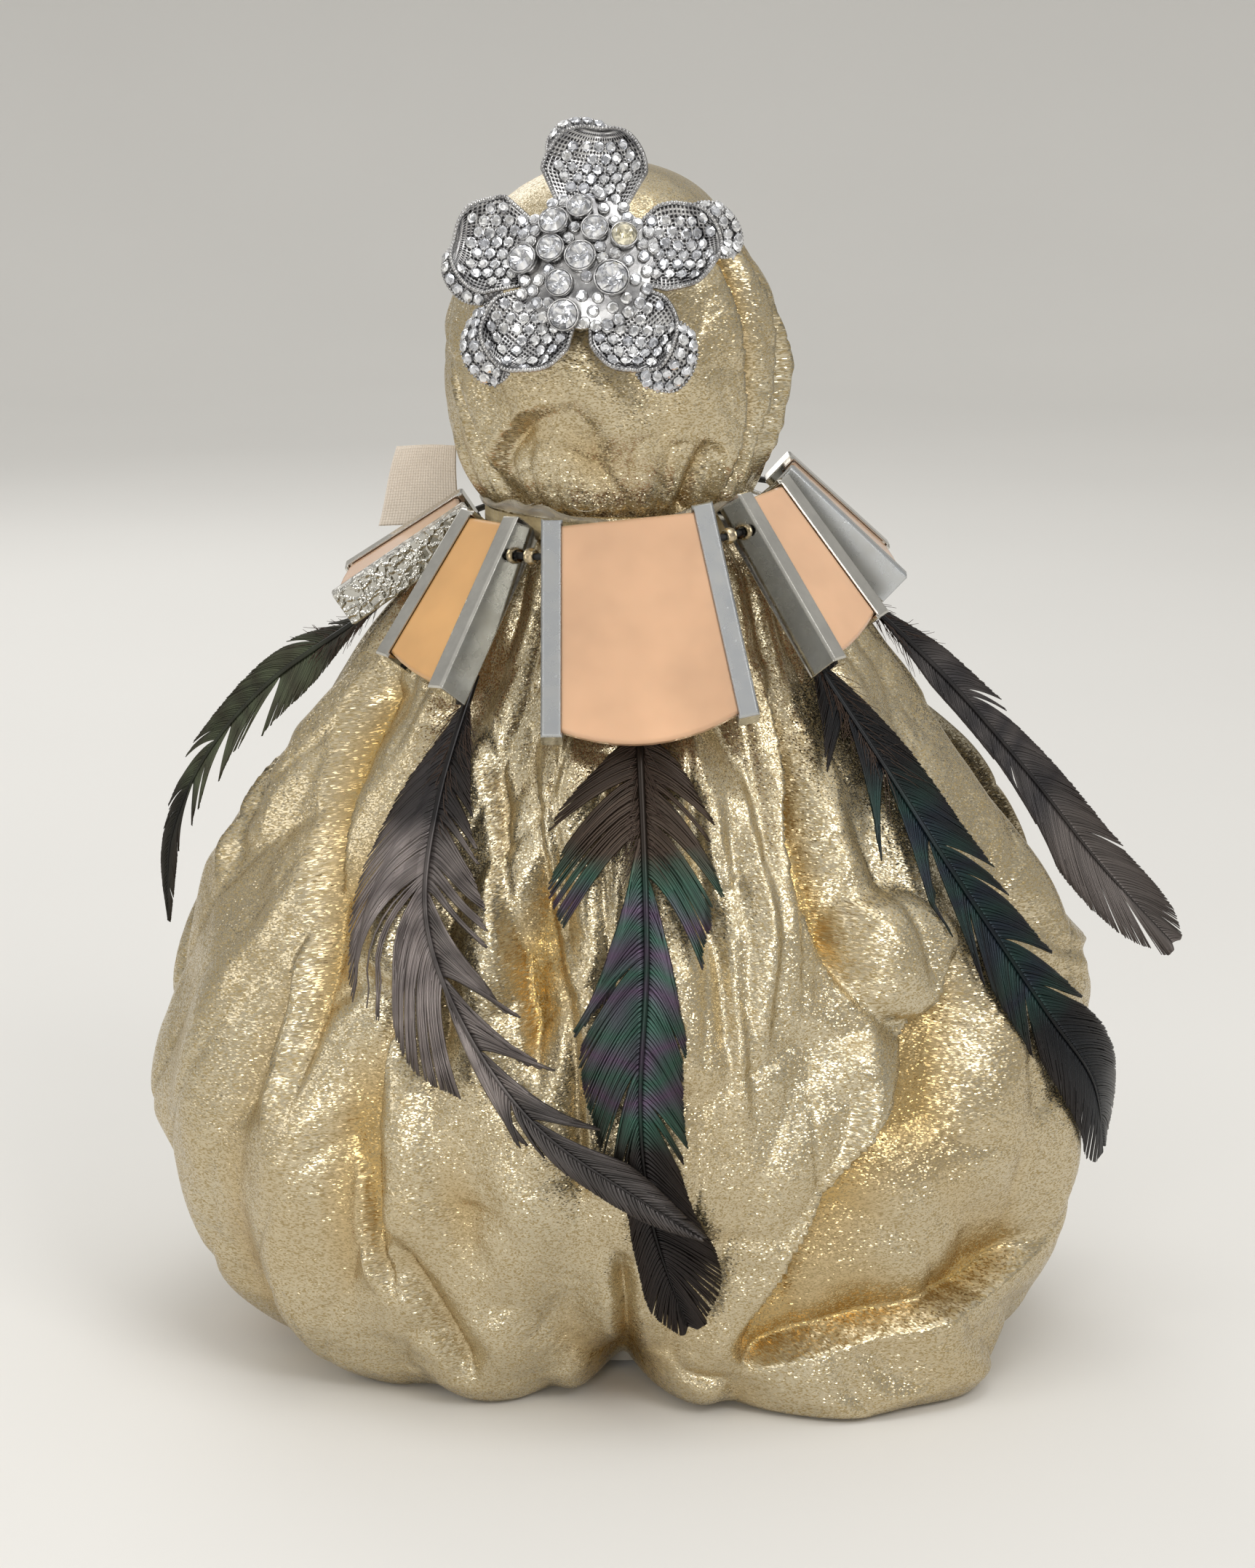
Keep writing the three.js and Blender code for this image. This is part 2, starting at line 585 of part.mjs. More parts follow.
function railSolid(pendant, side) {
  const bar = plate(railCorners(pendant, side), railFront, railBack, RAIL_EDGE);
  const hole = rod(CORD_HOLE_RADIUS, 4 * pendant.bottom + 4 * RAIL_WIDTH, 10);
  return cut(bar, hole, tileSolid(pendant, CLEARANCE));
}

// Half of a pendant's width at the cord, to the outside of its rails.
function halfWidthAtCord(pendant) {
  const { start, down, out } = railLine(pendant, 1);
  return start.x + (RAIL_ABOVE_CORD * down.x + RAIL_WIDTH) / out.x;
}

const halfAngle = (pendant) => Math.atan2(halfWidthAtCord(pendant), pendant.radius);

// Azimuths: each pendant follows its inner neighbour, with room for one bead on the cord between them.
function spread() {
  for (const side of [-1, 1]) {
    let last = pendantCalled.centre;
    last.azimuth = 0;
    for (const pendant of pendants.filter((p) => p.side === side)) {
      const reach = halfAngle(last) + halfAngle(pendant);
      const room = BEAD_GAP / ((last.radius + pendant.radius) / 2);
      pendant.azimuth = last.azimuth + side * (reach + room);
      last = pendant;
    }
  }
}
spread();

const collar = new THREE.Group();
collar.position.z = GOWN_HEIGHT + COLLAR_HEIGHT_ABOVE_NECK;
collar.rotation.set(rad(COLLAR_PITCH), -rad(COLLAR_ROLL), rad(COLLAR_YAW), "XYZ");
doll.add(collar);

const REST_GAP = FEATHER_STANDOFF + FEATHER_THICKNESS + 2 * CLEARANCE; // a quill fits under a rail

// Points along the back edges of both rails, where a pendant can touch the gown, with the gap left there.
function railBackPoints(pendant) {
  const points = [];
  for (const side of [-1, 1]) {
    const { start, down, out, length } = railLine(pendant, side);
    for (let i = 0; i <= 12; i++) {
      for (const away of [0, RAIL_WIDTH]) {
        const p = start.clone().addScaledVector(down, (length * i) / 12).addScaledVector(out, away);
        points.push({ at: new THREE.Vector3(p.x, railBack, p.y), gap: i > 6 ? REST_GAP : 2 * CLEARANCE });
      }
    }
  }
  return points;
}

// The least outward tilt at which a pendant's rails lie clear of the gown, and what props it further out.
function restingTilt(pendant) {
  const points = railBackPoints(pendant);
  const clear = () => {
    doll.updateMatrixWorld(true);
    return points.every(({ at, gap }) => {
      const p = at.clone().applyMatrix4(pendant.hanger.matrixWorld);
      if (p.z > BAND_FOOT) return true;
      return Math.hypot(p.x, p.y) > envelope(Math.atan2(p.x, -p.y), p.z) + gap;
    });
  };
  for (let degrees = 15; degrees < 85; degrees += 0.5) {
    pendant.hanger.rotation.x = -rad(degrees);
    if (clear()) return degrees + pendant.propped;
  }
  return 85;
}

function railPlace(pendant, side) {
  if (!pendant.side) return side < 0 ? "left" : "right";
  return side === pendant.side ? "outer" : "inner";
}

function makePendants() {
  for (const pendant of pendants) {
    const arm = new THREE.Group();
    arm.rotation.z = pendant.azimuth;
    pendant.hanger = new THREE.Group();
    pendant.hanger.position.y = -pendant.radius;
    arm.add(pendant.hanger);
    collar.add(arm);
    pendant.tilt = restingTilt(pendant);
    pendant.hanger.rotation.x = -rad(pendant.tilt);
    pendant.hanger.add(mesh(`${pendant.name}_tile`, "resin", tileSolid(pendant, 0)));
    for (const side of [-1, 1]) {
      const rail = `${pendant.name}_${railPlace(pendant, side)}_rail`;
      pendant.hanger.add(mesh(rail, "silver", railSolid(pendant, side)));
    }
  }
  doll.updateMatrixWorld(true);
}

// Cord: straight through each pendant, bent at the beads, and tied behind the neck

const inOrder = ["left_end", "left", "centre", "right", "right_end"].map((name) => pendantCalled[name]);

function cordEnd(pendant, side) {
  const local = around(pendant.azimuth, pendant.radius, 0);
  const along = new THREE.Vector3(Math.cos(pendant.azimuth), Math.sin(pendant.azimuth), 0);
  return local.addScaledVector(along, side * halfWidthAtCord(pendant));
}

function makeBeads() {
  for (let i = 0; i < inOrder.length - 1; i++) {
    const from = cordEnd(inOrder[i], 1);
    const to = cordEnd(inOrder[i + 1], -1);
    const bore = CORD_RADIUS + 2 * CLEARANCE;
    const half = Math.sqrt(BEAD_RADIUS ** 2 - bore ** 2);
    const arc = Array.from({ length: 7 }, (_, k) => {
      const angle = lerp(-Math.asin(half / BEAD_RADIUS), Math.asin(half / BEAD_RADIUS), k / 6);
      return [BEAD_RADIUS * Math.cos(angle), BEAD_RADIUS * Math.sin(angle)];
    });
    const bead = mesh(`bead_${i + 1}`, "gold", lathe(arc, 12));
    bead.position.copy(from).lerp(to, 0.5);
    bead.quaternion.setFromUnitVectors(new THREE.Vector3(0, 0, 1), to.clone().sub(from).normalize());
    collar.add(bead);
  }
}

// From the collar's axis to the middle of the knot, which lies against the neck.
function knotSeat() {
  const pitch = rad(COLLAR_PITCH);
  let radius = bandOutside;
  for (let i = 0; i < 8; i++) {
    const hood = hoodRadius(collar.position.z + radius * Math.tan(pitch) + KNOT_RADIUS);
    radius = Math.max(hood, bandOutside) + 2 * CLEARANCE + KNOT_RADIUS;
  }
  return radius / Math.cos(pitch);
}

function makeCord() {
  const knotRing = knotSeat();
  const knotGap = (KNOT_RADIUS + CLEARANCE) / knotRing;
  const behind = (azimuth, t) => around(azimuth, lerp(knotRing, SIDE_CORD_RADIUS, t), 0);
  const first = inOrder[0].azimuth;
  const last = inOrder.at(-1).azimuth;
  const points = [];
  for (const t of [0, 0.33, 0.66]) points.push(behind(lerp(-Math.PI + knotGap, first - rad(22), t), t));
  for (const pendant of inOrder) {
    for (const side of [-1, 0, 1]) {
      const middle = around(pendant.azimuth, pendant.radius, 0);
      points.push(side ? cordEnd(pendant, side) : middle);
    }
  }
  for (const t of [0.66, 0.33, 0]) points.push(behind(lerp(Math.PI - knotGap, last + rad(22), t), t));
  const path = new THREE.CatmullRomCurve3(points);
  const section = new THREE.Shape().absarc(0, 0, CORD_RADIUS, 0, 2 * Math.PI);
  const sweep = { steps: 66, extrudePath: path, bevelEnabled: false, curveSegments: 4 };
  collar.add(mesh("collar_cord", "cord", new THREE.ExtrudeGeometry(section, sweep)));
  const knot = mesh("cord_knot", "cord", new THREE.SphereGeometry(KNOT_RADIUS, 10, 6));
  knot.position.copy(behind(Math.PI, 0));
  collar.add(knot);
}

// Feathers: a shaft that follows the gown, with a cambered vane on each side

// Each one's pendant, its tip's share of the gown's height, half widths, where the vane is full and how
// blunt it ends. The path is azimuths and stand-offs at shares of the way down from the quill to the tip.
const feathers = [
  {
    name: "far_left_feather",
    under: "left_end",
    edge: 0.5,
    tip: 0.488,
    vane: [10, 9],
    full: 0.4,
    blunt: 1.6,
    twist: -40,
    path: [[0, -91, 1.2], [0.1, -92, 3.5], [0.28, -93, 13], [0.5, -93, 15], [0.75, -93, 12], [1, -93, 4]],
  },
  {
    name: "left_feather",
    under: "left",
    edge: 1,
    tip: 0.244,
    vane: [18, 17],
    full: 0.36,
    blunt: 0.9,
    twist: 0,
    path: [
      [0, -44, 1.2], [0.22, -40, 1.2], [0.42, -34, 2.4], [0.6, -24, 4.6], [0.78, -12, 5],
      [0.92, 3, 5], [1, 12, 5],
    ],
  },
  {
    name: "centre_feather",
    under: "centre",
    edge: 0.5,
    tip: 0.122,
    vane: [16, 15],
    full: 0.35,
    blunt: 3,
    twist: 0,
    path: [[0, 4, 1.2], [0.35, 4, 1.2], [0.6, 2.6, 1.2], [0.8, 4.5, 1.4], [1, 11, 2]],
  },
  {
    name: "right_feather",
    under: "right",
    edge: 0,
    tip: 0.234,
    vane: [15, 14],
    full: 0.4,
    blunt: 3,
    twist: 20,
    path: [[0, 58, 1.2], [0.2, 60, 1.2], [0.4, 61, 1.2], [0.66, 67, 1.4], [0.82, 74, 2], [1, 83, 4]],
  },
  {
    name: "far_right_feather",
    under: "right_end",
    edge: 0.5,
    tip: 0.459,
    vane: [12, 11],
    full: 0.5,
    blunt: 5,
    twist: 45,
    path: [[0, 95, 1.2], [0.1, 95, 2.5], [0.3, 94, 6], [0.55, 93, 6], [0.78, 92.5, 11], [1, 92, 24]],
  },
];

// The middle of a pendant's lower end: edge 0 is at its left rail, 1 at its right.
function pendantFoot(pendant, edge) {
  const foot = (side) => {
    const { start, down, length } = railLine(pendant, side);
    return start.clone().addScaledVector(down, length);
  };
  const p = foot(-1).lerp(foot(1), edge);
  return new THREE.Vector3(p.x, railBack, p.y).applyMatrix4(pendant.hanger.matrixWorld);
}

function clearOfGown(point, standoff) {
  const azimuth = Math.atan2(point.x, -point.y);
  const least = envelope(azimuth, point.z) + standoff;
  const radius = Math.hypot(point.x, point.y);
  return radius < least ? around(azimuth, least, point.z) : point;
}

// Where one feather lies over another, it stands clear of the gown by the lower one's thickness.
const OVERLAY = FEATHER_STANDOFF + 2 * FEATHER_THICKNESS + CLEARANCE;
const FEATHER_STATIONS = 15;
const BARE_QUILL = 0.06; // share of the length with no vane
const TWIST_END = 0.3; // share of the length over which a feather turns out of the gown's surface
const VANE_STEPS = [-1, -0.5, 0, 0.5, 1];

function makeFeather(feather) {
  const root = pendantFoot(pendantCalled[feather.under], feather.edge).z + QUILL_UNDER_RAIL;
  const spine = new THREE.CatmullRomCurve3(
    feather.path.map(([share, azimuth, standoff]) => {
      const height = lerp(root, feather.tip * GOWN_HEIGHT, share);
      return around(rad(azimuth), envelope(rad(azimuth), height) + standoff, height);
    }),
  );
  const rings = Array.from({ length: FEATHER_STATIONS }, (_, i) => {
    const t = i / (FEATHER_STATIONS - 1);
    const at = spine.getPointAt(t);
    const tangent = spine.getTangentAt(t);
    const outward = new THREE.Vector3(at.x, at.y, 0).normalize();
    const turn = rad(feather.twist) * smoothstep(t, 0, TWIST_END);
    const across = tangent.clone().cross(outward).normalize().applyAxisAngle(tangent, turn);
    const normal = across.clone().cross(tangent).normalize();
    const beyond = Math.max(0, (t - feather.full) / (1 - feather.full));
    const spread = smoothstep(t, BARE_QUILL, feather.full) * (1 - beyond ** feather.blunt) ** 0.7;
    const standoff = Math.hypot(at.x, at.y) - envelope(Math.atan2(at.x, -at.y), at.z);
    const least = clamp(standoff, FEATHER_STANDOFF, OVERLAY);
    const points = (face) =>
      VANE_STEPS.map((s) => {
        const reach = QUILL_HALF_WIDTH + (s < 0 ? feather.vane[0] : feather.vane[1]) * spread;
        const half = lerp(FEATHER_THICKNESS, VANE_EDGE, Math.abs(s));
        const point = at.clone().addScaledVector(across, s * reach);
        return clearOfGown(point, least).addScaledVector(normal, face * half);
      });
    return [...points(1), ...points(-1).reverse()];
  });
  doll.add(mesh(feather.name, "feather", loft(rings, rungCap)));
}

// Brooch: a plate with five cupped petals and a domed cluster of stones, on a pin in the hood

// Each petal's direction, length, half width, and the side on which its edge rolls over.
const petals = [
  { name: "petal_top", angle: 87, length: 28, half: 12.8, lip: 1 },
  { name: "petal_left", angle: 171, length: 27, half: 12.4, lip: 1 },
  { name: "petal_lower_left", angle: 236, length: 28, half: 11.4, lip: -1 },
  { name: "petal_lower_right", angle: 305, length: 28.5, half: 11.4, lip: -1 },
  { name: "petal_right", angle: 10, length: 28, half: 10.8, lip: 1 },
];
const PETAL_CUP = 3.6;
const PETAL_DROOP = 5;
const petalBase = BROOCH_PLATE_THICKNESS + CLEARANCE;
const clusterBase = petalBase + PETAL_THICKNESS + CLEARANCE;

// Large stones of the cluster: across, up and radius, as they lie round the middle one.
const STONES = [
  [-0.6, 0.3, 3.2], [-7.3, 8.8, 3.1], [2.3, 7.1, 2.8], [9.0, 5.6, 2.8], [-7.5, 2.2, 2.9],
  [-14.0, 0.0, 3.1], [-1.6, 12.5, 2.7], [-5.0, -6.0, 2.8], [6.8, -4.7, 3.6], [-3.7, -13.2, 3.2],
];

// A stone's outline, as shares of its radius and height: culet, girdle and table.
const STONE_CUT = [[0, 0], [0.8, 0], [1, 0.45], [1, 0.6], [0.6, 1], [0, 1]];

// Half of the room between a petal's neighbours, at a distance from the brooch's middle.
const petalRoom = (distance) => 0.62 * distance - CLEARANCE;

// A petal's upper face: u runs from root to tip and s from edge to edge. The face is cupped, rounded at
// the tip, drooping beyond the plate, and turned down along the edge where s is 1.
function petalSurface(petal, u, s) {
  const reach = PETAL_START + petal.length * u;
  const outline = Math.sin(Math.PI * (0.06 + 0.88 * u ** 1.2)) ** 0.55;
  const width = Math.min(petal.half * outline, petalRoom(reach));
  const x = reach + PETAL_TIP * petal.length * (1 - s * s) * u * u;
  const clear = smoothstep(reach, CLUSTER_RADIUS, CLUSTER_RADIUS + petal.length / 3);
  const cup = PETAL_CUP * s * s * (width / petal.half) * clear;
  const lip = PETAL_LIP * Math.max(0, (s - LIP_START) / (1 - LIP_START)) ** 2 * clear;
  const droop = (PETAL_DROOP * Math.max(0, reach - BROOCH_PLATE_RADIUS)) / petal.length;
  return new THREE.Vector3(x, petal.lip * s * width, petalBase + PETAL_THICKNESS + cup - lip - droop);
}

function makePetal(petal) {
  const steps = [-1, -0.72, -0.4, 0, 0.4, LIP_START, 0.85, 1];
  const rings = [0, 0.12, 0.26, 0.42, 0.58, 0.74, 0.88, 1].map((u) => {
    const top = steps.map((s) => petalSurface(petal, u, s));
    const under = top.map((p) => new THREE.Vector3(p.x, PETAL_UNDER * p.y, p.z - PETAL_THICKNESS));
    return [...top, ...under.reverse()];
  });
  return mesh(petal.name, "silver", loft(rings, rungCap).rotateZ(rad(petal.angle)));
}

// The dome's upper face, at a distance from its middle.
function clusterHeight(distance) {
  const share = Math.min(1, distance / CLUSTER_RADIUS);
  return clusterBase + CLUSTER_EDGE + CLUSTER_RISE * Math.cos((Math.PI / 2) * share);
}

function makeCluster(brooch) {
  const crown = Array.from({ length: 6 }, (_, i) => {
    const r = i === 5 ? 0 : CLUSTER_RADIUS * Math.cos((Math.PI / 2) * (i / 5));
    return [r, clusterHeight(r)];
  });
  const outline = [[0, clusterBase], [CLUSTER_RADIUS, clusterBase], ...crown];
  brooch.add(mesh("cluster_dome", "silver", lathe(outline, 20)));
  STONES.forEach(([x, y, r], i) => {
    const base = clusterHeight(Math.max(0, Math.hypot(x, y) - r)) + CLEARANCE;
    const stone = lathe(STONE_CUT.map(([out, up]) => [out * r, up * STONE_HEIGHT]), 8);
    brooch.add(mesh(`stone_${i + 1}`, "crystal", stone.translate(x, y, base)));
  });
}

function makePin(brooch) {
  const radius = BROOCH_PLATE_RADIUS;
  const disc = new THREE.CylinderGeometry(radius, radius, BROOCH_PLATE_THICKNESS, 24).rotateX(Math.PI / 2);
  brooch.add(mesh("brooch_plate", "silver", disc.translate(0, 0, BROOCH_PLATE_THICKNESS / 2)));
  const lugAt = Math.min(BROOCH_PLATE_RADIUS - PIN_LUG / 2, PIN_LENGTH / 2 - PIN_LUG / 2);
  const lugHeight = PIN_HEIGHT + PIN_LUG / 2 - CLEARANCE;
  const bore = () => rod(PIN_RADIUS + CLEARANCE, 2 * PIN_LENGTH, 10).translate(0, 0, -PIN_HEIGHT);
  const lugMiddle = -CLEARANCE - lugHeight / 2;
  const lug = (x) => new THREE.BoxGeometry(PIN_LUG, PIN_LUG, lugHeight).translate(x, 0, lugMiddle);
  const mouth = new THREE.BoxGeometry(2 * PIN_LUG, PIN_LUG, 2 * PIN_RADIUS + 2 * CLEARANCE);
  mouth.translate(lugAt, -PIN_LUG / 2, -PIN_HEIGHT);
  brooch.add(mesh("pin_hinge", "silver", cut(lug(-lugAt), bore())));
  brooch.add(mesh("pin_catch", "silver", cut(lug(lugAt), bore(), mouth)));
  brooch.add(mesh("pin_stem", "silver", rod(PIN_RADIUS, PIN_LENGTH, 8).translate(0, 0, -PIN_HEIGHT)));
}

function makeBrooch() {
  const brooch = new THREE.Group();
  const standoff = HEAD_RADIUS + PIN_HEIGHT + PIN_RADIUS + CLEARANCE;
  const elevation = rad(BROOCH_ELEVATION);
  const outward = around(rad(BROOCH_AZIMUTH), Math.cos(elevation), Math.sin(elevation));
  brooch.position.set(HEAD_LEAN, 0, headHeight).addScaledVector(outward, standoff);
  brooch.rotation.set(Math.PI / 2 - elevation, 0, rad(BROOCH_AZIMUTH), "ZYX");
  makePin(brooch);
  for (const petal of petals) brooch.add(makePetal(petal));
  makeCluster(brooch);
  doll.add(brooch);
}

// Cloth tag: a blank flap of cloth behind the neck, its inner edge tacked to the cord

function makeTag() {
  const foot = GOWN_HEIGHT - HOOD_TUCK;
  const head = foot + TAG_HEIGHT;
  const edge = Math.sqrt(SIDE_CORD_RADIUS ** 2 - TAG_BEHIND ** 2) + CORD_RADIUS + CLEARANCE;
  const corners = [[-edge, foot], [-edge, head], [-edge - TAG_TOP, head], [-edge - TAG_BOTTOM, foot]];
  doll.add(mesh("cloth_tag", "tag", plate(corners, TAG_BEHIND, TAG_BEHIND + TAG_THICKNESS, 0)));
}

doll.add(makeGown(), makeBoard(), makeDowel(), makeStuffing());
doll.add(makeHood(), makeHeadCore(), makeBand(), makeGlue());
makePendants();
makeBeads();
makeCord();
feathers.forEach(makeFeather);
makeBrooch();
makeTag();

export default doll;
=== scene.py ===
"""Looks of the art doll: cloth, feathers, metal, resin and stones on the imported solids.

Lengths in the tables and in the shape functions are millimetres in the solids' own axes: the doll
faces -Y, +X is the viewer's right and Z is up from the floor. Azimuth 0 is the front, 90 the right.
"""

import math

import bpy
import numpy as np
from bpy.props import FloatProperty, FloatVectorProperty, IntProperty, PointerProperty
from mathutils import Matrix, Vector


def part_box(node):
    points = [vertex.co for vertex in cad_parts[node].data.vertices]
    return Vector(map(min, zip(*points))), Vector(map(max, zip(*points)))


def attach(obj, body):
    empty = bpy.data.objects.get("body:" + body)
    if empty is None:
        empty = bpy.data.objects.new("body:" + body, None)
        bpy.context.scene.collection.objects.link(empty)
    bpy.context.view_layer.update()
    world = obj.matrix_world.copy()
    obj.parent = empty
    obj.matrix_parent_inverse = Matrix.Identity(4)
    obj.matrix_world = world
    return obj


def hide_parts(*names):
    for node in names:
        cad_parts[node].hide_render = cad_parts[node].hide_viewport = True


bl_info = {
    "name": "Art doll looks",
    "version": (1, 0, 0),
    "blender": (4, 5, 0),
    "location": "View3D > Sidebar > Doll",
    "description": "Dresses the solids of an art doll with cloth, feathers, metal and stones",
    "category": "Object",
}

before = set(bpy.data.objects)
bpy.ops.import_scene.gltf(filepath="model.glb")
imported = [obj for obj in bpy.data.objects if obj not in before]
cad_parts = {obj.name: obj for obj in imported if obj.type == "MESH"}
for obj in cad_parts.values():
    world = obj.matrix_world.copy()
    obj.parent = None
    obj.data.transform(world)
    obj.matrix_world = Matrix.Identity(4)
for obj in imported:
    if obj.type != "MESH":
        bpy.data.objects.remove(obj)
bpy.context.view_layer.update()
MM = 0.001


# Numbers


def smooth(x, low, high):
    """Smoothstep: 0 below low, 1 above high and 3t^2 - 2t^3 between them."""
    t = np.clip((x - low) / (high - low), 0, 1)
    return t * t * (3 - 2 * t)


def unit(vectors):
    """The vectors divided by their lengths."""
    return vectors / np.maximum(np.linalg.norm(vectors, axis=-1, keepdims=True), 1e-9)


def spline(points, count):
    """Catmull-Rom curve: on each span a cubic in t whose slopes are half the chords of its
    neighbours."""
    points = np.asarray(points, float)
    t = np.linspace(0, len(points) - 1, count)
    i = np.minimum(t.astype(int), len(points) - 2)
    w = (t - i)[:, None]
    a, b, c, d = (points[np.clip(i + k, 0, len(points) - 1)] for k in (-1, 0, 1, 2))
    return b + w * (c - a + w * (2 * a - 5 * b + 4 * c - d + w * (3 * b - a - 3 * c + d))) / 2


def even(line, count):
    """The line's points at equal distances along it."""
    steps = np.linalg.norm(np.diff(line, axis=0), axis=1)
    along = np.concatenate([[0], np.cumsum(steps)])
    at = np.linspace(0, along[-1], count)
    return np.stack([np.interp(at, along, line[:, k]) for k in range(line.shape[1])], -1)


def waves(azimuth, height, seed, count, turns, lengths):
    """Soft noise: the mean of sine waves with whole numbers of turns round the axis, each with its
    own phase."""
    pick = np.random.default_rng(seed)
    total = 0
    for _ in range(count):
        n = pick.integers(turns[0], turns[1] + 1)
        k = 2 * np.pi / pick.uniform(*lengths) * pick.choice([-1, 1])
        total = total + np.sin(n * azimuth + k * height + pick.uniform(0, 2 * np.pi))
    return total / math.sqrt(count)


def wrapped(angle):
    """The angle brought to between minus and plus half a turn."""
    return (angle + np.pi) % (2 * np.pi) - np.pi


def swelling(azimuth, degrees, width):
    """A bell round a direction: exp(-(turn / width)^2), both in degrees."""
    return np.exp(-((wrapped(azimuth - math.radians(degrees)) / math.radians(width)) ** 2))


def round_axis(azimuth, radius, height):
    """Points on circles round the doll's axis: x = r sin(azimuth), y = -r cos(azimuth)."""
    return np.stack([radius * np.sin(azimuth), -radius * np.cos(azimuth), height + 0 * azimuth], -1)


# Meshes


def tubes(grid, cap="face", uv=None, **values):
    """Like pieces for build(): grid[k, n, m] is point m on ring n of piece k. Each ring is closed.
    The ends get a face each, or rungs across a thin section, or the last ring joins the first."""
    grid = np.asarray(grid, float)
    return {"grid": grid[None] if grid.ndim == 3 else grid, "cap": cap, "uv": uv, "values": values}


def build(name, sets, material, body="doll", replaces=(), flat=False):
    """One piece from sets of tubes: quads between neighbouring rings, then the ends. A tube whose
    signed volume, the sum of a.(b x c) / 6 over its triangles, is negative is turned right side
    out."""
    points, corners, sizes, uvs = [], [], [], []
    names = sorted({key for part in sets for key in part["values"]})
    values = {key: [] for key in names}
    base = 0
    for part in sets:
        grid, cap = part["grid"], part["cap"]
        k, n, m, _ = grid.shape
        join = 1 if cap == "wrap" else 0
        ids = np.arange(k * (n + join) * (m + 1)).reshape(k, n + join, m + 1)
        piece, ring, spot = np.indices(ids.shape)
        vertex = ((piece * n + ring % n) * m + spot % m).ravel()
        quads = np.stack([ids[:, :-1, :-1], ids[:, :-1, 1:], ids[:, 1:, 1:], ids[:, 1:, :-1]], -1)
        groups = [quads.reshape(k, -1, 4)]
        if cap == "face":
            groups += [ids[:, :1, :m][:, :, ::-1], ids[:, -1:, :m]]
        if cap == "rungs":
            j = np.arange(m // 2 - 1)
            rung = np.stack([j, j + 1, m - 2 - j, m - 1 - j], -1)
            groups += [ids[:, 0][:, rung[:, ::-1]], ids[:, -1][:, rung]]
        flat_points = grid.reshape(-1, 3)
        volume = np.zeros(k)
        for group in groups:
            p = flat_points[vertex[group]]
            fan = np.cross(p[:, :, 1:-1], p[:, :, 2:])
            volume += np.einsum("kfi,kfci->k", p[:, :, 0], fan)
        inside_out = (volume < 0)[:, None, None]
        for group in groups:
            faces = np.where(inside_out, group[..., ::-1], group)
            corners.append(base + vertex[faces].ravel())
            sizes.append(np.full(faces.shape[0] * faces.shape[1], faces.shape[2]))
            if part["uv"] is None:
                uvs.append(np.zeros((faces.size, 2)))
            else:
                laid = np.broadcast_to(part["uv"], (*ids.shape, 2)).reshape(-1, 2)
                uvs.append(laid[faces.ravel()])
        for key in names:
            values[key].append(np.broadcast_to(part["values"].get(key, 0.0), (k, n, m)).ravel())
        points.append(flat_points * MM)
        base += k * n * m
    points, corners, sizes, uvs = (np.concatenate(x) for x in (points, corners, sizes, uvs))
    mesh = bpy.data.meshes.new(name)
    mesh.vertices.add(len(points))
    mesh.vertices.foreach_set("co", points.ravel().astype(np.float32))
    mesh.loops.add(len(corners))
    mesh.loops.foreach_set("vertex_index", corners.astype(np.int32))
    mesh.polygons.add(len(sizes))
    starts = np.concatenate([[0], np.cumsum(sizes)[:-1]])
    mesh.polygons.foreach_set("loop_start", starts.astype(np.int32))
    mesh.update(calc_edges=True)
    layer = mesh.uv_layers.new(name="surface")
    layer.data.foreach_set("uv", (uvs * MM).ravel().astype(np.float32))
    for key in names:
        attribute = mesh.attributes.new(key, "FLOAT", "POINT")
        attribute.data.foreach_set("value", np.concatenate(values[key]).astype(np.float32))
    if flat:
        mesh.shade_flat()
    else:
        mesh.shade_smooth()
    mesh.validate()
    mesh.materials.append(material)
    piece = bpy.data.objects.new(name, mesh)
    bpy.context.scene.collection.objects.link(piece)
    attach(piece, body)
    if replaces:
        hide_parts(*replaces)
    return piece


def dress(node, material):
    """Gives a solid that stays as it is its material."""
    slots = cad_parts[node].data.materials
    slots.clear()
    slots.append(material)


def frames(normals):
    """Two directions across each normal: the first is the normal crossed with the axis it leans on
    least."""
    lean = np.where(np.abs(normals[..., 2:]) < 0.8, [0.0, 0.0, 1.0], [0.0, 1.0, 0.0])
    across = unit(np.cross(lean, normals))
    return across, np.cross(normals, across)


def turned(centres, normals, radii, outline, sides, twist=0.0, spin=None):
    """Bodies of revolution: outline gives (out, up) in radii, carried round each normal in that
    many sides. Odd rings are turned by twist sides, and each body by its own spin."""
    across, other = frames(normals)
    outline = np.asarray(outline, float)
    rings = np.arange(len(outline))
    angle = 2 * np.pi * (np.arange(sides)[None] + twist * (rings % 2)[:, None]) / sides
    angle = angle[None] + (0 if spin is None else np.asarray(spin)[:, None, None])
    out = outline[None, :, 0, None] * np.asarray(radii)[:, None, None]
    up = outline[None, :, 1, None] * np.asarray(radii)[:, None, None] + 0 * angle
    return (
        centres[:, None, None]
        + (out * np.cos(angle))[..., None] * across[:, None, None]
        + (out * np.sin(angle))[..., None] * other[:, None, None]
        + up[..., None] * normals[:, None, None]
    )


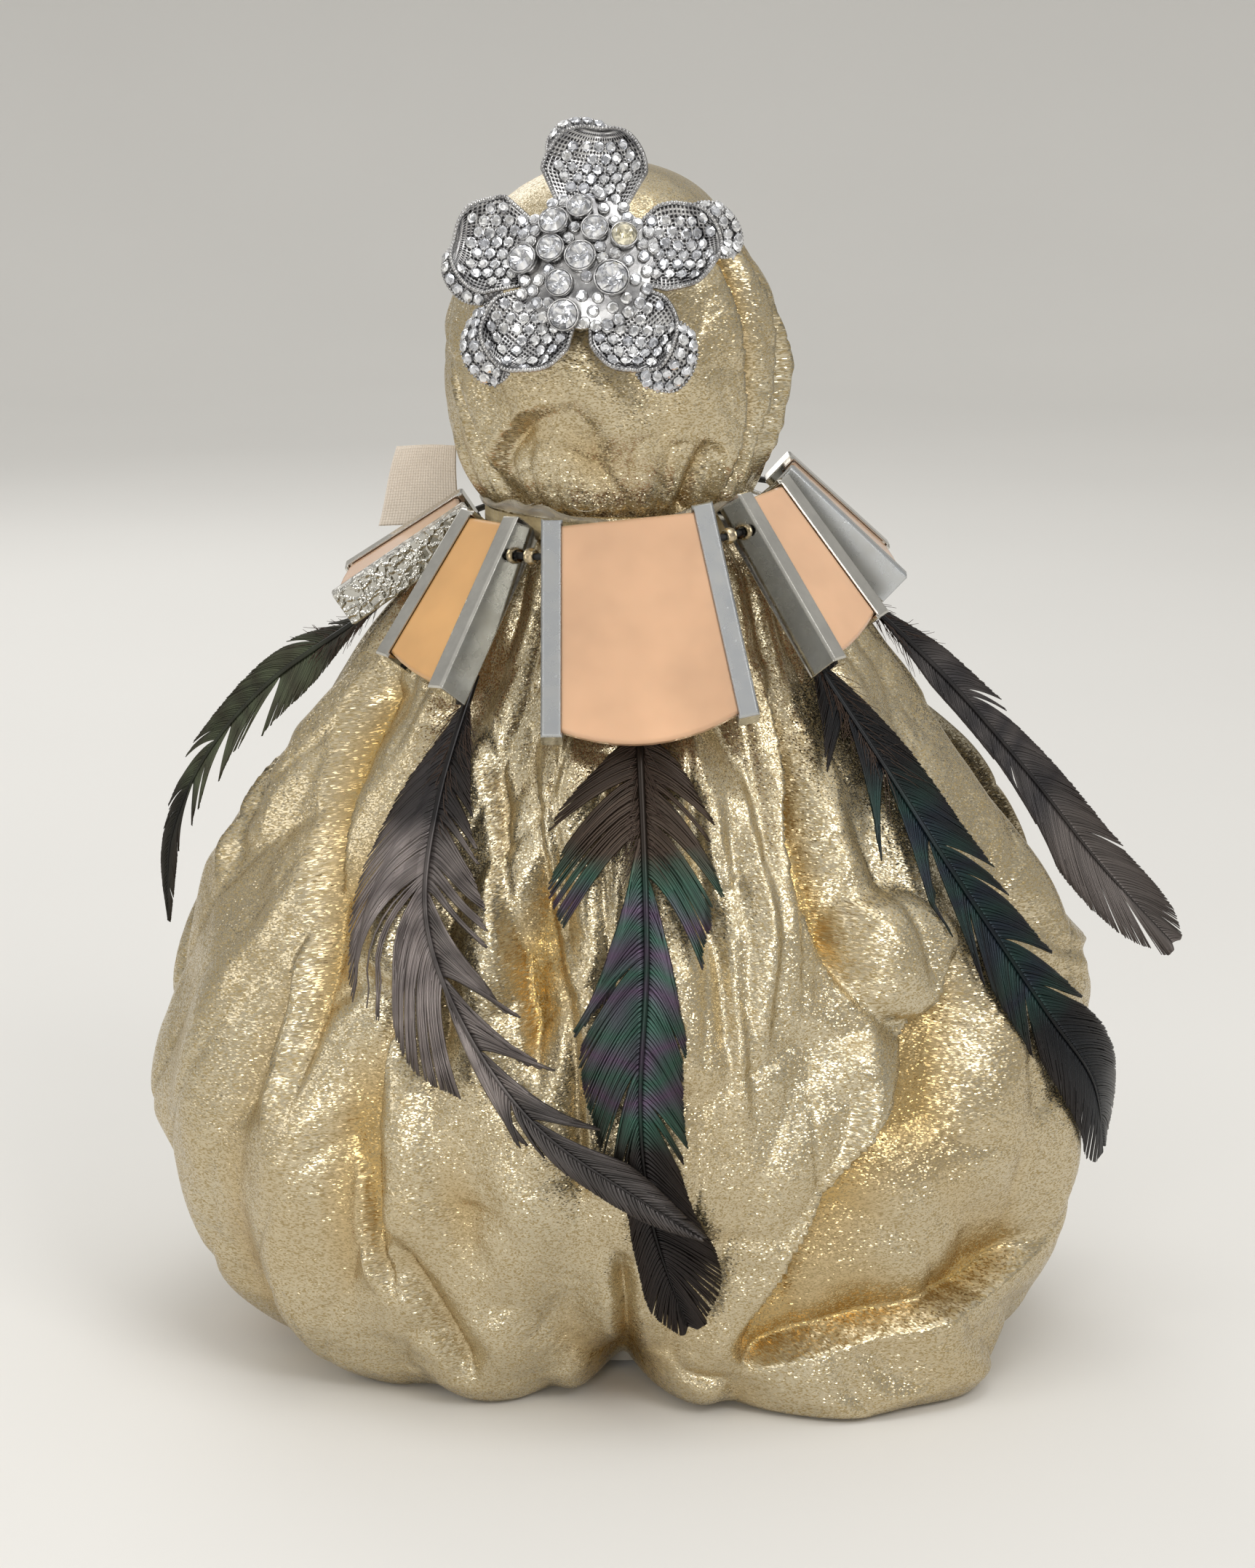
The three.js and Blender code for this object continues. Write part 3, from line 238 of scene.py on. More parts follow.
def along_path(path, radius, sides):
    """A round tube: circles across the path's own direction, which the first cross vector follows
    down the path."""
    path = np.asarray(path, float)
    tangent = unit(np.gradient(path, axis=0))
    lean = np.where(np.abs(tangent[:, 2:]).max() < 0.85, [0.0, 0.0, 1.0], [0.31, 0.9, 0.3])
    across = unit(np.cross(lean, tangent))
    other = np.cross(tangent, across)
    angle = (2 * np.pi * np.arange(sides) / sides)[None, :, None]
    radius = np.broadcast_to(radius, len(path))[:, None, None]
    circle = np.cos(angle) * across[:, None] + np.sin(angle) * other[:, None]
    return path[:, None] + radius * circle


def leaf(top, shift, flat):
    """A closed leaf for tubes() and its map: a face's rows, then back along it plus a shift."""
    grid = np.concatenate([top, (top + np.array(shift))[:, ::-1]], 1)
    return grid, np.concatenate([flat, flat[:, ::-1], flat[:, :1]], 1)


def strips(line, up, half, ridge):
    """Three-sided strips along lines: half a width to each side, and a ridge by up."""
    flat = unit(np.cross(up, unit(np.gradient(line, axis=1))))
    return np.stack([line - half * flat, line + half * flat, line + ridge * up], 2)


def ring_map(sides, radius, run):
    """A map for rings round the axis: across by the way round at the radius, and up by the run."""
    return np.stack(np.meshgrid(np.linspace(-np.pi, np.pi, sides + 1) * radius, run), -1)


def ring_quads(rows, columns):
    """Point numbers of a grid whose rows are rings, and the quads between neighbouring rings."""
    ids = np.arange(rows * columns).reshape(rows, columns)
    after = np.roll(ids, -1, 1)
    return ids, np.stack([ids[:-1], after[:-1], after[1:], ids[1:]], -1).reshape(-1, 4)


# Materials


def colour(code):
    """An sRGB hex value as linear red, green, blue and alpha."""
    shares = [int(code[i : i + 2], 16) / 255 for i in (1, 3, 5)]
    return (*[c / 12.92 if c <= 0.04045 else ((c + 0.055) / 1.055) ** 2.4 for c in shares], 1.0)


def add(tree, kind, inputs=None, stops=None, **settings):
    """Adds a node: settings go to its properties, stops to its ramp, inputs are linked or set."""
    node = tree.nodes.new(kind)
    for key, value in settings.items():
        setattr(node, key, value)
    if stops:
        ramp = node.color_ramp.elements
        ramp.remove(ramp[1])
        ramp[0].position, ramp[0].color = stops[0]
        for position, shade in stops[1:]:
            ramp.new(position).color = shade
    for key, value in (inputs or {}).items():
        if isinstance(value, bpy.types.NodeSocket):
            tree.links.new(value, node.inputs[key])
        else:
            node.inputs[key].default_value = value
    return node


def begin(name):
    """A new material with an empty node tree."""
    material = bpy.data.materials.new(name)
    material.use_nodes = True
    material.node_tree.nodes.clear()
    return material, material.node_tree


def wave_scale(pitch):
    """The scale at which a wave texture repeats at the pitch in metres: it takes the sine of 20
    times the scaled distance."""
    return 2 * math.pi / (20 * pitch)


# Strips of metal in the cloth, about as large as the real weft floats: metres, and radians of lean.
STRIP_LENGTH, STRIP_WIDTH, STRIP_LEAN = 0.00042, 0.00022, 0.25


def lame_cloth(colours, sizes):
    """Lame: a twill of flat metal strip and tan yarn. Most strips lie flat and give a satin sheen
    across the weave, and some are tilted and glint in dashes. Where folds are deep the foil is
    painted a deeper gold, a painted shade and reflection of fold on fold, varied by random patches."""
    material, tree = begin("woven_metal_lame")
    surface = add(tree, "ShaderNodeUVMap", uv_map="surface").outputs["UV"]
    place = add(tree, "ShaderNodeTexCoord").outputs["Object"]
    fold = add(tree, "ShaderNodeAttribute", attribute_name="fold").outputs["Fac"]
    weave = add(tree, "ShaderNodeMapping", {
        "Vector": surface, "Rotation": (0, 0, STRIP_LEAN),
        "Scale": (1 / STRIP_LENGTH, 1 / STRIP_WIDTH, 1)}).outputs[0]
    strip = add(tree, "ShaderNodeTexVoronoi", {"Vector": weave, "Scale": 1.0, "Randomness": 0.9},
                voronoi_dimensions="2D").outputs["Color"]
    _, kind, ease = add(tree, "ShaderNodeSeparateColor", {0: strip}).outputs
    loose = add(tree, "ShaderNodeMapRange", {
        0: ease, 1: 0.3, 2: 1.0, 3: 0.3 * sizes.glint, 4: 1.6 * sizes.glint}).outputs[0]
    centred = add(tree, "ShaderNodeVectorMath", {0: strip, 1: (0.5, 0.5, 0.5)},
                  operation="SUBTRACT").outputs[0]
    tilt = add(tree, "ShaderNodeVectorMath", {0: centred, "Scale": loose},
               operation="SCALE").outputs[0]
    wide = add(tree, "ShaderNodeTexNoise", {
        "Vector": place, "Scale": 1 / 0.02, "Detail": 3.0, "Roughness": 0.55,
        "Distortion": 0.6}).outputs["Fac"]
    crinkle = add(tree, "ShaderNodeBump", {
        "Height": wide, "Strength": 0.7, "Distance": 0.0024}).outputs[0]
    leaning = add(tree, "ShaderNodeVectorMath", {0: crinkle, 1: tilt}, operation="ADD").outputs[0]
    normal = add(tree, "ShaderNodeVectorMath", {0: leaning}, operation="NORMALIZE").outputs[0]
    patch = add(tree, "ShaderNodeTexNoise", {
        "Vector": place, "Scale": 1 / 0.05, "Detail": 2.0}).outputs["Fac"]
    drift = add(tree, "ShaderNodeMath", {0: patch, 1: 0.6, 2: -0.22},
                operation="MULTIPLY_ADD").outputs[0]
    # Painted shade and reflection: deep folds and random patches turn the foil to painted fold
    # gold.
    depth = add(tree, "ShaderNodeMath", {0: fold, 1: drift},
                operation="ADD", use_clamp=True).outputs[0]
    foil = add(tree, "ShaderNodeMix", {
        0: depth, 6: (*colours.lame_pale, 1), 7: (*colours.lame_painted_fold_reflection, 1)},
        data_type="RGBA").outputs[2]
    metal = add(tree, "ShaderNodeMapRange", {0: kind, 1: 0.1, 2: 0.5}).outputs[0]
    woven = add(tree, "ShaderNodeMix", {0: metal, 6: (*colours.lame_yarn, 1), 7: foil},
                data_type="RGBA").outputs[2]
    bright = add(tree, "ShaderNodeMapRange", {0: metal, 3: 0.5, 4: 0.95}).outputs[0]
    rough = add(tree, "ShaderNodeMapRange", {0: metal, 3: 0.46, 4: 0.25}).outputs[0]
    weft = add(tree, "ShaderNodeTangent", direction_type="UV_MAP", uv_map="surface").outputs[0]
    shader = add(tree, "ShaderNodeBsdfPrincipled", {
        "Base Color": woven, "Metallic": bright, "Roughness": rough,
        "Anisotropic": 0.35, "Tangent": weft, "Normal": normal})
    add(tree, "ShaderNodeOutputMaterial", {"Surface": shader.outputs[0]})
    return material


def feather_vane(name, root, sheen, band, tip, gloss):
    """Dark plumage: barbs of keratin. Bars of painted iridescent sheen in two colours alternate
    across the vane, and each barb's brightness is scaled by its random tone as painted sheen along
    it, on top of the strips' own highlights. The foot is browner, and the downy part dull."""
    material, tree = begin(name)
    place = add(tree, "ShaderNodeTexCoord").outputs["Object"]
    along, down, tone, edge = [
        add(tree, "ShaderNodeAttribute", attribute_name=value).outputs["Fac"]
        for value in ("along", "down", "tone", "edge")]
    cloud = add(tree, "ShaderNodeTexNoise", {
        "Vector": place, "Scale": 1 / 0.02, "Detail": 2.0}).outputs["Fac"]
    shifted = add(tree, "ShaderNodeMath", {0: cloud, 1: 0.16, 2: along},
                  operation="MULTIPLY_ADD").outputs[0]
    # Painted sheen: the sheen and band colours alternate in bars along the vane.
    bands = [(0.4 + 0.035 * i, sheen if i % 2 else band) for i in range(10)]
    stops = [(0.06, root), (0.3, root), (0.36, sheen), *bands, (0.78, tip), (1.0, tip)]
    bars = add(tree, "ShaderNodeValToRGB", {0: shifted},
               stops=[(position, colour(code)) for position, code in stops]).outputs[0]
    # Painted sheen: each barb's tone scales its brightness.
    barb = add(tree, "ShaderNodeMapRange", {0: tone, 3: 0.35, 4: 1.9}).outputs[0]
    toned = add(tree, "ShaderNodeMix", {0: 1.0, 6: bars, 7: barb},
                data_type="RGBA", blend_type="MULTIPLY").outputs[2]
    worn = add(tree, "ShaderNodeMath", {0: edge, 1: 0.35}, operation="MULTIPLY").outputs[0]
    frayed = add(tree, "ShaderNodeMix", {0: worn, 6: toned, 7: colour("#3B2C20")},
                 data_type="RGBA").outputs[2]
    plume = add(tree, "ShaderNodeMix", {0: down, 6: frayed, 7: colour("#46352A")},
                data_type="RGBA").outputs[2]
    metal = add(tree, "ShaderNodeMapRange", {0: down, 3: 0.6, 4: 0.0}).outputs[0]
    dull = add(tree, "ShaderNodeMapRange", {0: down, 3: gloss, 4: 0.85}).outputs[0]
    shader = add(tree, "ShaderNodeBsdfPrincipled", {
        "Base Color": plume, "Metallic": metal, "Roughness": dull, "Specular IOR Level": 0.6})
    add(tree, "ShaderNodeOutputMaterial", {"Surface": shader.outputs[0]})
    return material


def antique_silver():
    """Cast base metal, silver plated and darkened: a fine square mesh is stamped in the petals,
    black in its hollows and bright on its wires. The mesh is drawn at 0.9 mm, a little coarser than
    the real one, so that it shows."""
    material, tree = begin("antique_silver_plate")
    surface = add(tree, "ShaderNodeUVMap", uv_map="surface").outputs["UV"]
    place = add(tree, "ShaderNodeTexCoord").outputs["Object"]
    wires = [add(tree, "ShaderNodeTexWave", {"Vector": surface, "Scale": wave_scale(0.0009)},
                 bands_direction=axis).outputs["Fac"] for axis in "XY"]
    mesh = add(tree, "ShaderNodeMath", dict(enumerate(wires)), operation="MULTIPLY").outputs[0]
    bump = add(tree, "ShaderNodeBump", {
        "Height": mesh, "Strength": 0.5, "Distance": 0.0003}).outputs[0]
    tarnish = add(tree, "ShaderNodeTexNoise", {
        "Vector": place, "Scale": 1 / 0.004, "Detail": 3.0}).outputs["Fac"]
    worn = add(tree, "ShaderNodeMath", {0: mesh, 1: -0.75, 2: tarnish},
               operation="MULTIPLY_ADD").outputs[0]
    shade = add(tree, "ShaderNodeValToRGB", {0: worn}, stops=[
        (0.0, colour("#3A393A")), (0.3, colour("#878687")), (0.62, colour("#C9C8C7"))]).outputs[0]
    shader = add(tree, "ShaderNodeBsdfPrincipled", {
        "Base Color": shade, "Metallic": 1.0, "Roughness": 0.24, "Normal": bump})
    add(tree, "ShaderNodeOutputMaterial", {"Surface": shader.outputs[0]})
    return material


def foiled_crystal():
    """Cut glass with a foil back: each facet is a small mirror under a clear skin. Its colour is
    painted brighter and darker, by each stone's tone and a fine cell noise, as painted reflections
    of what the foil throws back through the others."""
    material, tree = begin("foiled_cut_glass")
    place = add(tree, "ShaderNodeTexCoord").outputs["Object"]
    tone = add(tree, "ShaderNodeAttribute", attribute_name="tone").outputs["Fac"]
    # tone: painted reflection brightness of each stone and facet; at its top the yellow stone's own
    # colour.
    shade = add(tree, "ShaderNodeValToRGB", {0: tone}, stops=[
        (0.0, colour("#6E6F74")), (0.3, colour("#DCDEE4")), (0.9, colour("#FFFFFF")),
        (1.0, colour("#EFE0A0"))]).outputs[0]
    # Painted reflections: fine cells darken facets at random.
    facet = add(tree, "ShaderNodeTexVoronoi", {
        "Vector": place, "Scale": 1 / 0.0008}).outputs["Color"]
    painted_facet_glint = add(tree, "ShaderNodeSeparateColor", {0: facet}).outputs[0]
    inner = add(tree, "ShaderNodeMapRange", {
        0: painted_facet_glint, 1: 0.15, 2: 0.6, 3: 0.6, 4: 1.0}).outputs[0]
    glass = add(tree, "ShaderNodeMix", {0: 1.0, 6: shade, 7: inner},
                data_type="RGBA", blend_type="MULTIPLY").outputs[2]
    shader = add(tree, "ShaderNodeBsdfPrincipled", {
        "Base Color": glass, "Metallic": 0.8, "Roughness": 0.07,
        "Coat Weight": 0.7, "Coat Roughness": 0.03})
    add(tree, "ShaderNodeOutputMaterial", {"Surface": shader.outputs[0]})
    return material


def cast_resin(name, tint):
    """Cast polyester resin: glossy, faintly cloudy inside, with light bleeding a little way into
    it. Its edges are eased, so they catch a line of light."""
    material, tree = begin(name)
    place = add(tree, "ShaderNodeTexCoord").outputs["Object"]
    cloud = add(tree, "ShaderNodeTexNoise", {
        "Vector": place, "Scale": 1 / 0.022, "Detail": 3.0, "Roughness": 0.45}).outputs["Fac"]
    ends = [(*[share * c for c in tint], 1) for share in (0.86, 1.0, 1.14)]
    shade = add(tree, "ShaderNodeValToRGB", {0: cloud},
                stops=list(zip((0.3, 0.5, 0.72), ends))).outputs[0]
    ripple = add(tree, "ShaderNodeTexNoise", {
        "Vector": place, "Scale": 1 / 0.009, "Detail": 1.0}).outputs["Fac"]
    eased = add(tree, "ShaderNodeBevel", {"Radius": 0.0011}, samples=4).outputs[0]
    bump = add(tree, "ShaderNodeBump", {
        "Height": ripple, "Strength": 0.05, "Distance": 0.0008, "Normal": eased}).outputs[0]
    shader = add(tree, "ShaderNodeBsdfPrincipled", {
        "Base Color": shade, "Roughness": 0.16, "IOR": 1.54, "Normal": bump,
        "Subsurface Weight": 0.12, "Subsurface Radius": (1.0, 0.5, 0.3), "Subsurface Scale": 0.003,
        "Coat Weight": 0.5, "Coat Roughness": 0.04})
    add(tree, "ShaderNodeOutputMaterial", {"Surface": shader.outputs[0]})
    return material


def rail_metal(name, tint, roughness, pits, veins):
    """Plated die casting, polished or satin: eased edges that catch the light, casting pits,
    hairline wear, and on one rail a raised net of veins such as a torch leaves on silver."""
    material, tree = begin(name)
    place = add(tree, "ShaderNodeTexCoord").outputs["Object"]
    wear = add(tree, "ShaderNodeTexNoise", {
        "Vector": place, "Scale": 1 / 0.006, "Detail": 4.0, "Roughness": 0.6}).outputs
    pit = add(tree, "ShaderNodeTexVoronoi", {
        "Vector": place, "Scale": 1 / 0.0021}).outputs["Distance"]
    pitted = add(tree, "ShaderNodeMapRange", {0: pit, 1: 0.03, 2: 0.12}).outputs[0]
    warp = add(tree, "ShaderNodeMix", {0: 0.004, 4: place, 5: wear["Color"]},
               data_type="VECTOR").outputs[1]
    vein = add(tree, "ShaderNodeTexVoronoi", {"Vector": warp, "Scale": 1 / 0.0028},
               feature="DISTANCE_TO_EDGE").outputs["Distance"]
    ridge = add(tree, "ShaderNodeMapRange", {0: vein, 1: 0.0, 2: 0.22, 3: 1.0, 4: 0.0}).outputs[0]
    small = add(tree, "ShaderNodeMath", {0: pitted, 1: pits}, operation="MULTIPLY").outputs[0]
    height = add(tree, "ShaderNodeMath", {0: ridge, 1: veins, 2: small},
                 operation="MULTIPLY_ADD").outputs[0]
    eased = add(tree, "ShaderNodeBevel", {"Radius": 0.0005}, samples=4).outputs[0]
    bump = add(tree, "ShaderNodeBump", {
        "Height": height, "Strength": 0.8, "Distance": 0.0004, "Normal": eased}).outputs[0]
    shade = add(tree, "ShaderNodeMix", {0: wear["Fac"], 6: colour(tint), 7: colour("#B4B2AC")},
                data_type="RGBA").outputs[2]
    rough = add(tree, "ShaderNodeMapRange", {
        0: wear["Fac"], 3: 0.6 * roughness, 4: 1.5 * roughness}).outputs[0]
    shader = add(tree, "ShaderNodeBsdfPrincipled", {
        "Base Color": shade, "Metallic": 1.0, "Roughness": rough, "Normal": bump})
    add(tree, "ShaderNodeOutputMaterial", {"Surface": shader.outputs[0]})
    return material


def plain_finish(name, low, high, grain, roughness, depth, **sockets):
    """A matt or waxy finish: two tones in a noise of the given grain in metres, and its bump."""
    material, tree = begin(name)
    place = add(tree, "ShaderNodeTexCoord").outputs["Object"]
    speck = add(tree, "ShaderNodeTexNoise", {
        "Vector": place, "Scale": 1 / grain, "Detail": 4.0}).outputs["Fac"]
    shade = add(tree, "ShaderNodeMix", {0: speck, 6: colour(low), 7: colour(high)},
                data_type="RGBA").outputs[2]
    bump = add(tree, "ShaderNodeBump", {
        "Height": speck, "Strength": 0.5, "Distance": depth}).outputs[0]
    sockets = {key.replace("_", " "): value for key, value in sockets.items()}
    shader = add(tree, "ShaderNodeBsdfPrincipled", {
        "Base Color": shade, "Roughness": roughness, "Normal": bump, **sockets})
    add(tree, "ShaderNodeOutputMaterial", {"Surface": shader.outputs[0]})
    return material


def woven_tape(name, low, high, pitch, roughness):
    """Plain woven cotton: threads over and under at the pitch in metres, on the piece's own map."""
    material, tree = begin(name)
    surface = add(tree, "ShaderNodeUVMap", uv_map="surface").outputs["UV"]
    threads = [add(tree, "ShaderNodeTexWave", {"Vector": surface, "Scale": wave_scale(pitch)},
                   bands_direction=axis).outputs["Fac"] for axis in "XY"]
    cross = add(tree, "ShaderNodeMath", dict(enumerate(threads)), operation="ADD").outputs[0]
    bump = add(tree, "ShaderNodeBump", {
        "Height": cross, "Strength": 0.35, "Distance": 0.0003}).outputs[0]
    slub = add(tree, "ShaderNodeTexNoise", {
        "Vector": surface, "Scale": 1 / 0.006, "Detail": 4.0}).outputs["Fac"]
    shade = add(tree, "ShaderNodeMix", {0: slub, 6: colour(low), 7: colour(high)},
                data_type="RGBA").outputs[2]
    shader = add(tree, "ShaderNodeBsdfPrincipled", {
        "Base Color": shade, "Roughness": roughness, "Normal": bump, "Sheen Weight": 0.2})
    add(tree, "ShaderNodeOutputMaterial", {"Surface": shader.outputs[0]})
    return material


# Gown

GOWN_HEIGHT = 205
# Half widths across, and half depths from front to back, as (height, radius).
SIDE_PROFILE = [(0, 84), (20.5, 103.2), (61.5, 116), (106.6, 109), (137.4, 94), (168.1, 67.3),
                (188.6, 48.7), (199.4, 32), (205, 32)]
FRONT_PROFILE = [(0, 62), (20.5, 72.2), (61.5, 84), (106.6, 77.3), (137.4, 63.8), (162, 48.7),
                 (184.5, 37), (199.4, 32), (205, 32)]

# Lobes in which the stuffed hem sags to the floor: direction, half width in degrees and share.
LOBE_HEIGHT = 0.22 * GOWN_HEIGHT
LOBES = [(42, 28, 0.85), (-30, 16, 0.15), (130, 26, 0.3), (215, 26, 0.3)]

# Each fold: its depth, its reach in millimetres to its left and right side, and its line as
# (azimuth, height). A short reach makes a sharp edge on that side, a long one a slope. A negative
# depth stands out.
GOWN_FOLDS = [
    (7.5, 4, 18, [(-79, 178), (-73, 159), (-67.7, 142), (-61, 126), (-53.5, 105), (-52, 84),
                  (-51, 56)]),
    (3.2, 12, 3, [(-66, 150), (-60, 120), (-58, 90), (-59, 62)]),
    (3.8, 10, 2.6, [(-37.6, 108), (-40.4, 87), (-40.5, 69), (-43, 58)]),
    (6.0, 2.8, 16, [(-45, 72), (-41, 60), (-40, 43), (-37, 26)]),
    (5.0, 4, 11, [(-36.5, 48), (-33.5, 30), (-29.6, 13), (-27, 4)]),
    (4.5, 3, 9, [(-40, 162), (-28, 139), (-22, 119.6), (-16.3, 98), (-13, 76)]),
    (3.2, 9, 2.8, [(-29.5, 162), (-19, 139.5), (-14.7, 118), (-9, 98.6), (-7.3, 72), (-6.3, 40)]),
    (2.6, 2.6, 7, [(-18.3, 158), (-13.8, 131.5), (-8, 104)]),
    (2.0, 6, 2.6, [(-8, 156), (-4, 128), (-2, 96)]),
    (3.0, 11, 3, [(16.7, 158), (16.4, 131), (17.2, 107), (17, 74)]),
    (2.8, 3, 11, [(31.8, 157), (30, 134), (28.3, 114), (24, 84)]),
    (1.8, 3, 7, [(24, 150), (23, 120), (21, 96), (22, 62)]),
    (9.0, 4, 13, [(50, 172), (45.5, 163), (41.4, 146), (36.5, 131.6), (36.1, 118), (39, 106),
                  (43, 96.6), (47, 92)]),
    (9.0, 4, 20, [(60, 114), (58, 109), (53.3, 94.4), (42.7, 74), (33, 54), (27.3, 34.7),
                  (19.6, 10)]),
    (6.0, 16, 4, [(72, 36), (55.3, 28), (41, 24.4), (28.7, 20), (19.8, 12)]),
    (3.6, 12, 3, [(38, 84), (33, 64), (24, 42)]),
    (7.0, 6, 6, [(-0.6, 46), (0.8, 23), (1.5, 4), (1.5, -6)]),
    (3.0, 3, 9, [(70, 116), (81, 100), (93, 94)]),
    (-3.0, 9, 8, [(76, 104), (88, 98), (102, 100)]),
    (4.0, 3, 9, [(-88, 152), (-83, 134), (-77, 114)]),
    (5.5, 8, 4, [(92, 160), (93, 126), (95, 108)]),
    (2.0, 4, 14, [(84, 84), (80, 58), (74, 36)]),
    (-3.5, 9, 9, [(92, 116), (91, 95), (89, 74)]),
    (8.0, 28, 30, [(-90, 56), (-87, 28), (-84, 4), (-82, -14)]),
    (6.5, 4, 14, [(126, 180), (121, 118), (117, 40)]),
    (6.0, 14, 4, [(154, 184), (150, 128), (145, 50)]),
    (6.5, 5, 9, [(181, 180), (179, 120), (175, 34)]),
    (6.0, 4, 14, [(206, 184), (210, 122), (214, 50)]),
    (6.5, 14, 4, [(236, 180), (239, 116), (243, 42)]),
    (4.5, 5, 9, [(264, 164), (268, 120), (272, 74)]),
    (3.0, 9, 3, [(140, 170), (136, 120), (131, 70)]),
    (3.0, 3, 9, [(166, 172), (165, 130), (160, 84)]),
    (3.0, 9, 3, [(194, 172), (196, 130), (199, 84)]),
    (3.0, 3, 9, [(222, 170), (226, 120), (229, 70)]),
    (4.5, 16, 4, [(166, 92), (186, 66), (196, 34)]),
    (4.5, 4, 16, [(132, 90), (124, 64), (108, 34)]),
    (3.5, 4, 12, [(-108, 96), (-96, 66), (-84, 42)]),
]
# Tucks in the hem: azimuth, half width in degrees, depth and how far the hem is lifted there.
HEM_TUCKS = [(-1, 7, 16, 5), (2, 15, 0, 3.5), (-66, 8, 4, 2), (-40, 6, 3, 2.5), (-17, 5, 3, 2),
             (21, 5, 6, 1.5), (70, 8, 5, 0.5), (100, 9, 5, 0), (128, 8, 4, 0), (160, 9, 6, 0),
             (192, 8, 5, 0), (226, 9, 5, 0), (262, 9, 6, 0)]
# The deepest that anything sinks, how much more in the hem, and how high the hem reaches.
DEEPEST, HEM_DEEPER, HEM_HEIGHT = 11, 8, 33
# The pouch: azimuth, height, half width, half height and rise.
POUCH = (48.5, 108.0, 16.0, 15.0, 7.0)
PANELS, PANEL_DEPTH, PANEL_SWAY = 15, 5.0, (0.32, 0.22)
GATHERS, GATHER_DEPTH = 21, 1.5
DRAPE_DEPTH = 1.6
# The hem is rounded: so far in at the floor, over so much height.
HEM_ROUND_IN, HEM_ROUND_UP = 4, 6
GOWN_SIDES, GOWN_MAP_RADIUS = 560, 95

# The settling: which rows and columns the coarse copy takes, the simulation's own values, how far
# wrinkles may go in and out, the passes of their mean and their gain.
COARSE_ROWS, COARSE_COLUMNS = 3, 4
SETTLE_FRAMES, SETTLE_QUALITY = 20, 6
SETTLE_SLACK, SETTLE_MASS, SETTLE_BENDING, SETTLE_PRESSURE = 0.05, 0.05, 0.3, 0.15
SETTLE_IN, SETTLE_OUT = 3.5, 1.2
SETTLE_SPAN, SETTLE_GAIN = 40, 1.2


def profile(table, height):
    """A radius at each height, on a Catmull-Rom curve through the table."""
    line = spline(table, 400)
    return np.interp(height, line[:, 0], line[:, 1])


def envelope(azimuth, height):
    """The gown's outline before its folds: in plan a superellipse, |sin/a|^p + |cos/b|^p = r^-p,
    between the side and front profiles, whose power falls from square to drawn in and is 2 at the
    round neck. In a lobe the outline of a higher level is carried down."""
    t = height / GOWN_HEIGHT
    power = 2.6 + (1.55 - 2.6) * smooth(t, 0, 0.8)
    power = power + (2 - power) * smooth(t, 0.85, 0.97)
    full = sum(share * swelling(azimuth, at, width) for at, width, share in LOBES)
    level = height + np.maximum(0, LOBE_HEIGHT - height) * np.minimum(1, full)
    side = np.abs(np.sin(azimuth)) / profile(SIDE_PROFILE, level)
    front = np.abs(np.cos(azimuth)) / profile(FRONT_PROFILE, level)
    return (side**power + front**power) ** (-1 / power)


def fold_depth(azimuth, height, girth, depth, left, right, line):
    """How far a fold sinks at a distance d from its line on the unrolled surface: depth times (1 -
    d / reach)^p. Where the reach is short p is 1, which leaves a sharp edge, a little proud of the
    cloth beyond it, and where it is long p is 1.7. The fold fades out at both ends of its line."""
    points = even(spline([(math.radians(a), z) for a, z in line], 60), 13)
    best = np.full(azimuth.shape, 1e9)
    side = np.zeros(azimuth.shape)
    share = np.zeros(azimuth.shape)
    width = girth(height)
    middle = points[:, 0].mean()
    x = (wrapped(azimuth - middle) + middle) * width
    for i in range(len(points) - 1):
        # The unrolled surface narrows upwards, so a stretch takes the width at the point's height.
        ax, bx = points[i, 0] * width, points[i + 1, 0] * width
        az, bz = points[i, 1], points[i + 1, 1]
        length = (bx - ax) ** 2 + (bz - az) ** 2
        t = np.clip(((x - ax) * (bx - ax) + (height - az) * (bz - az)) / length, 0, 1)
        dx, dz = x - ax - t * (bx - ax), height - az - t * (bz - az)
        distance = np.hypot(dx, dz)
        closer = distance < best
        best = np.where(closer, distance, best)
        side = np.where(closer, dx * (bz - az) - dz * (bx - ax), side)
        share = np.where(closer, (i + t) / (len(points) - 1), share)
    reach = np.where(side > 0, left, right)
    sharp = reach < 4.5
    slope = np.maximum(0, 1 - best / reach) ** np.where(sharp, 1.0, 1.7)
    proud = np.where(sharp & (best > reach), 0.16 * np.exp(-(best - reach) / (2.2 * reach)), 0)
    fade = smooth(share, 0, 0.2) * (1 - smooth(share, 0.75, 1))
    return depth * (slope - proud) * fade


def gown_girth(height):
    """A mean radius of the gown at each height."""
    return (profile(SIDE_PROFILE, height) + profile(FRONT_PROFILE, height)) / 2


def pouch_rise(azimuth, height):
    """The pouch of slack cloth: a dome, rise * (1 - x^2 - z^2)^0.4 over an ellipse, broken off at
    its upper edge."""
    at, middle, half_width, half_height, rise = POUCH
    x = wrapped(azimuth - math.radians(at)) * gown_girth(height) / half_width
    z = (height - middle) / half_height
    edge = 1 - smooth(height, middle + 0.72 * half_height, middle + 0.95 * half_height)
    return rise * np.maximum(0, 1 - x * x - z * z) ** 0.4 * edge


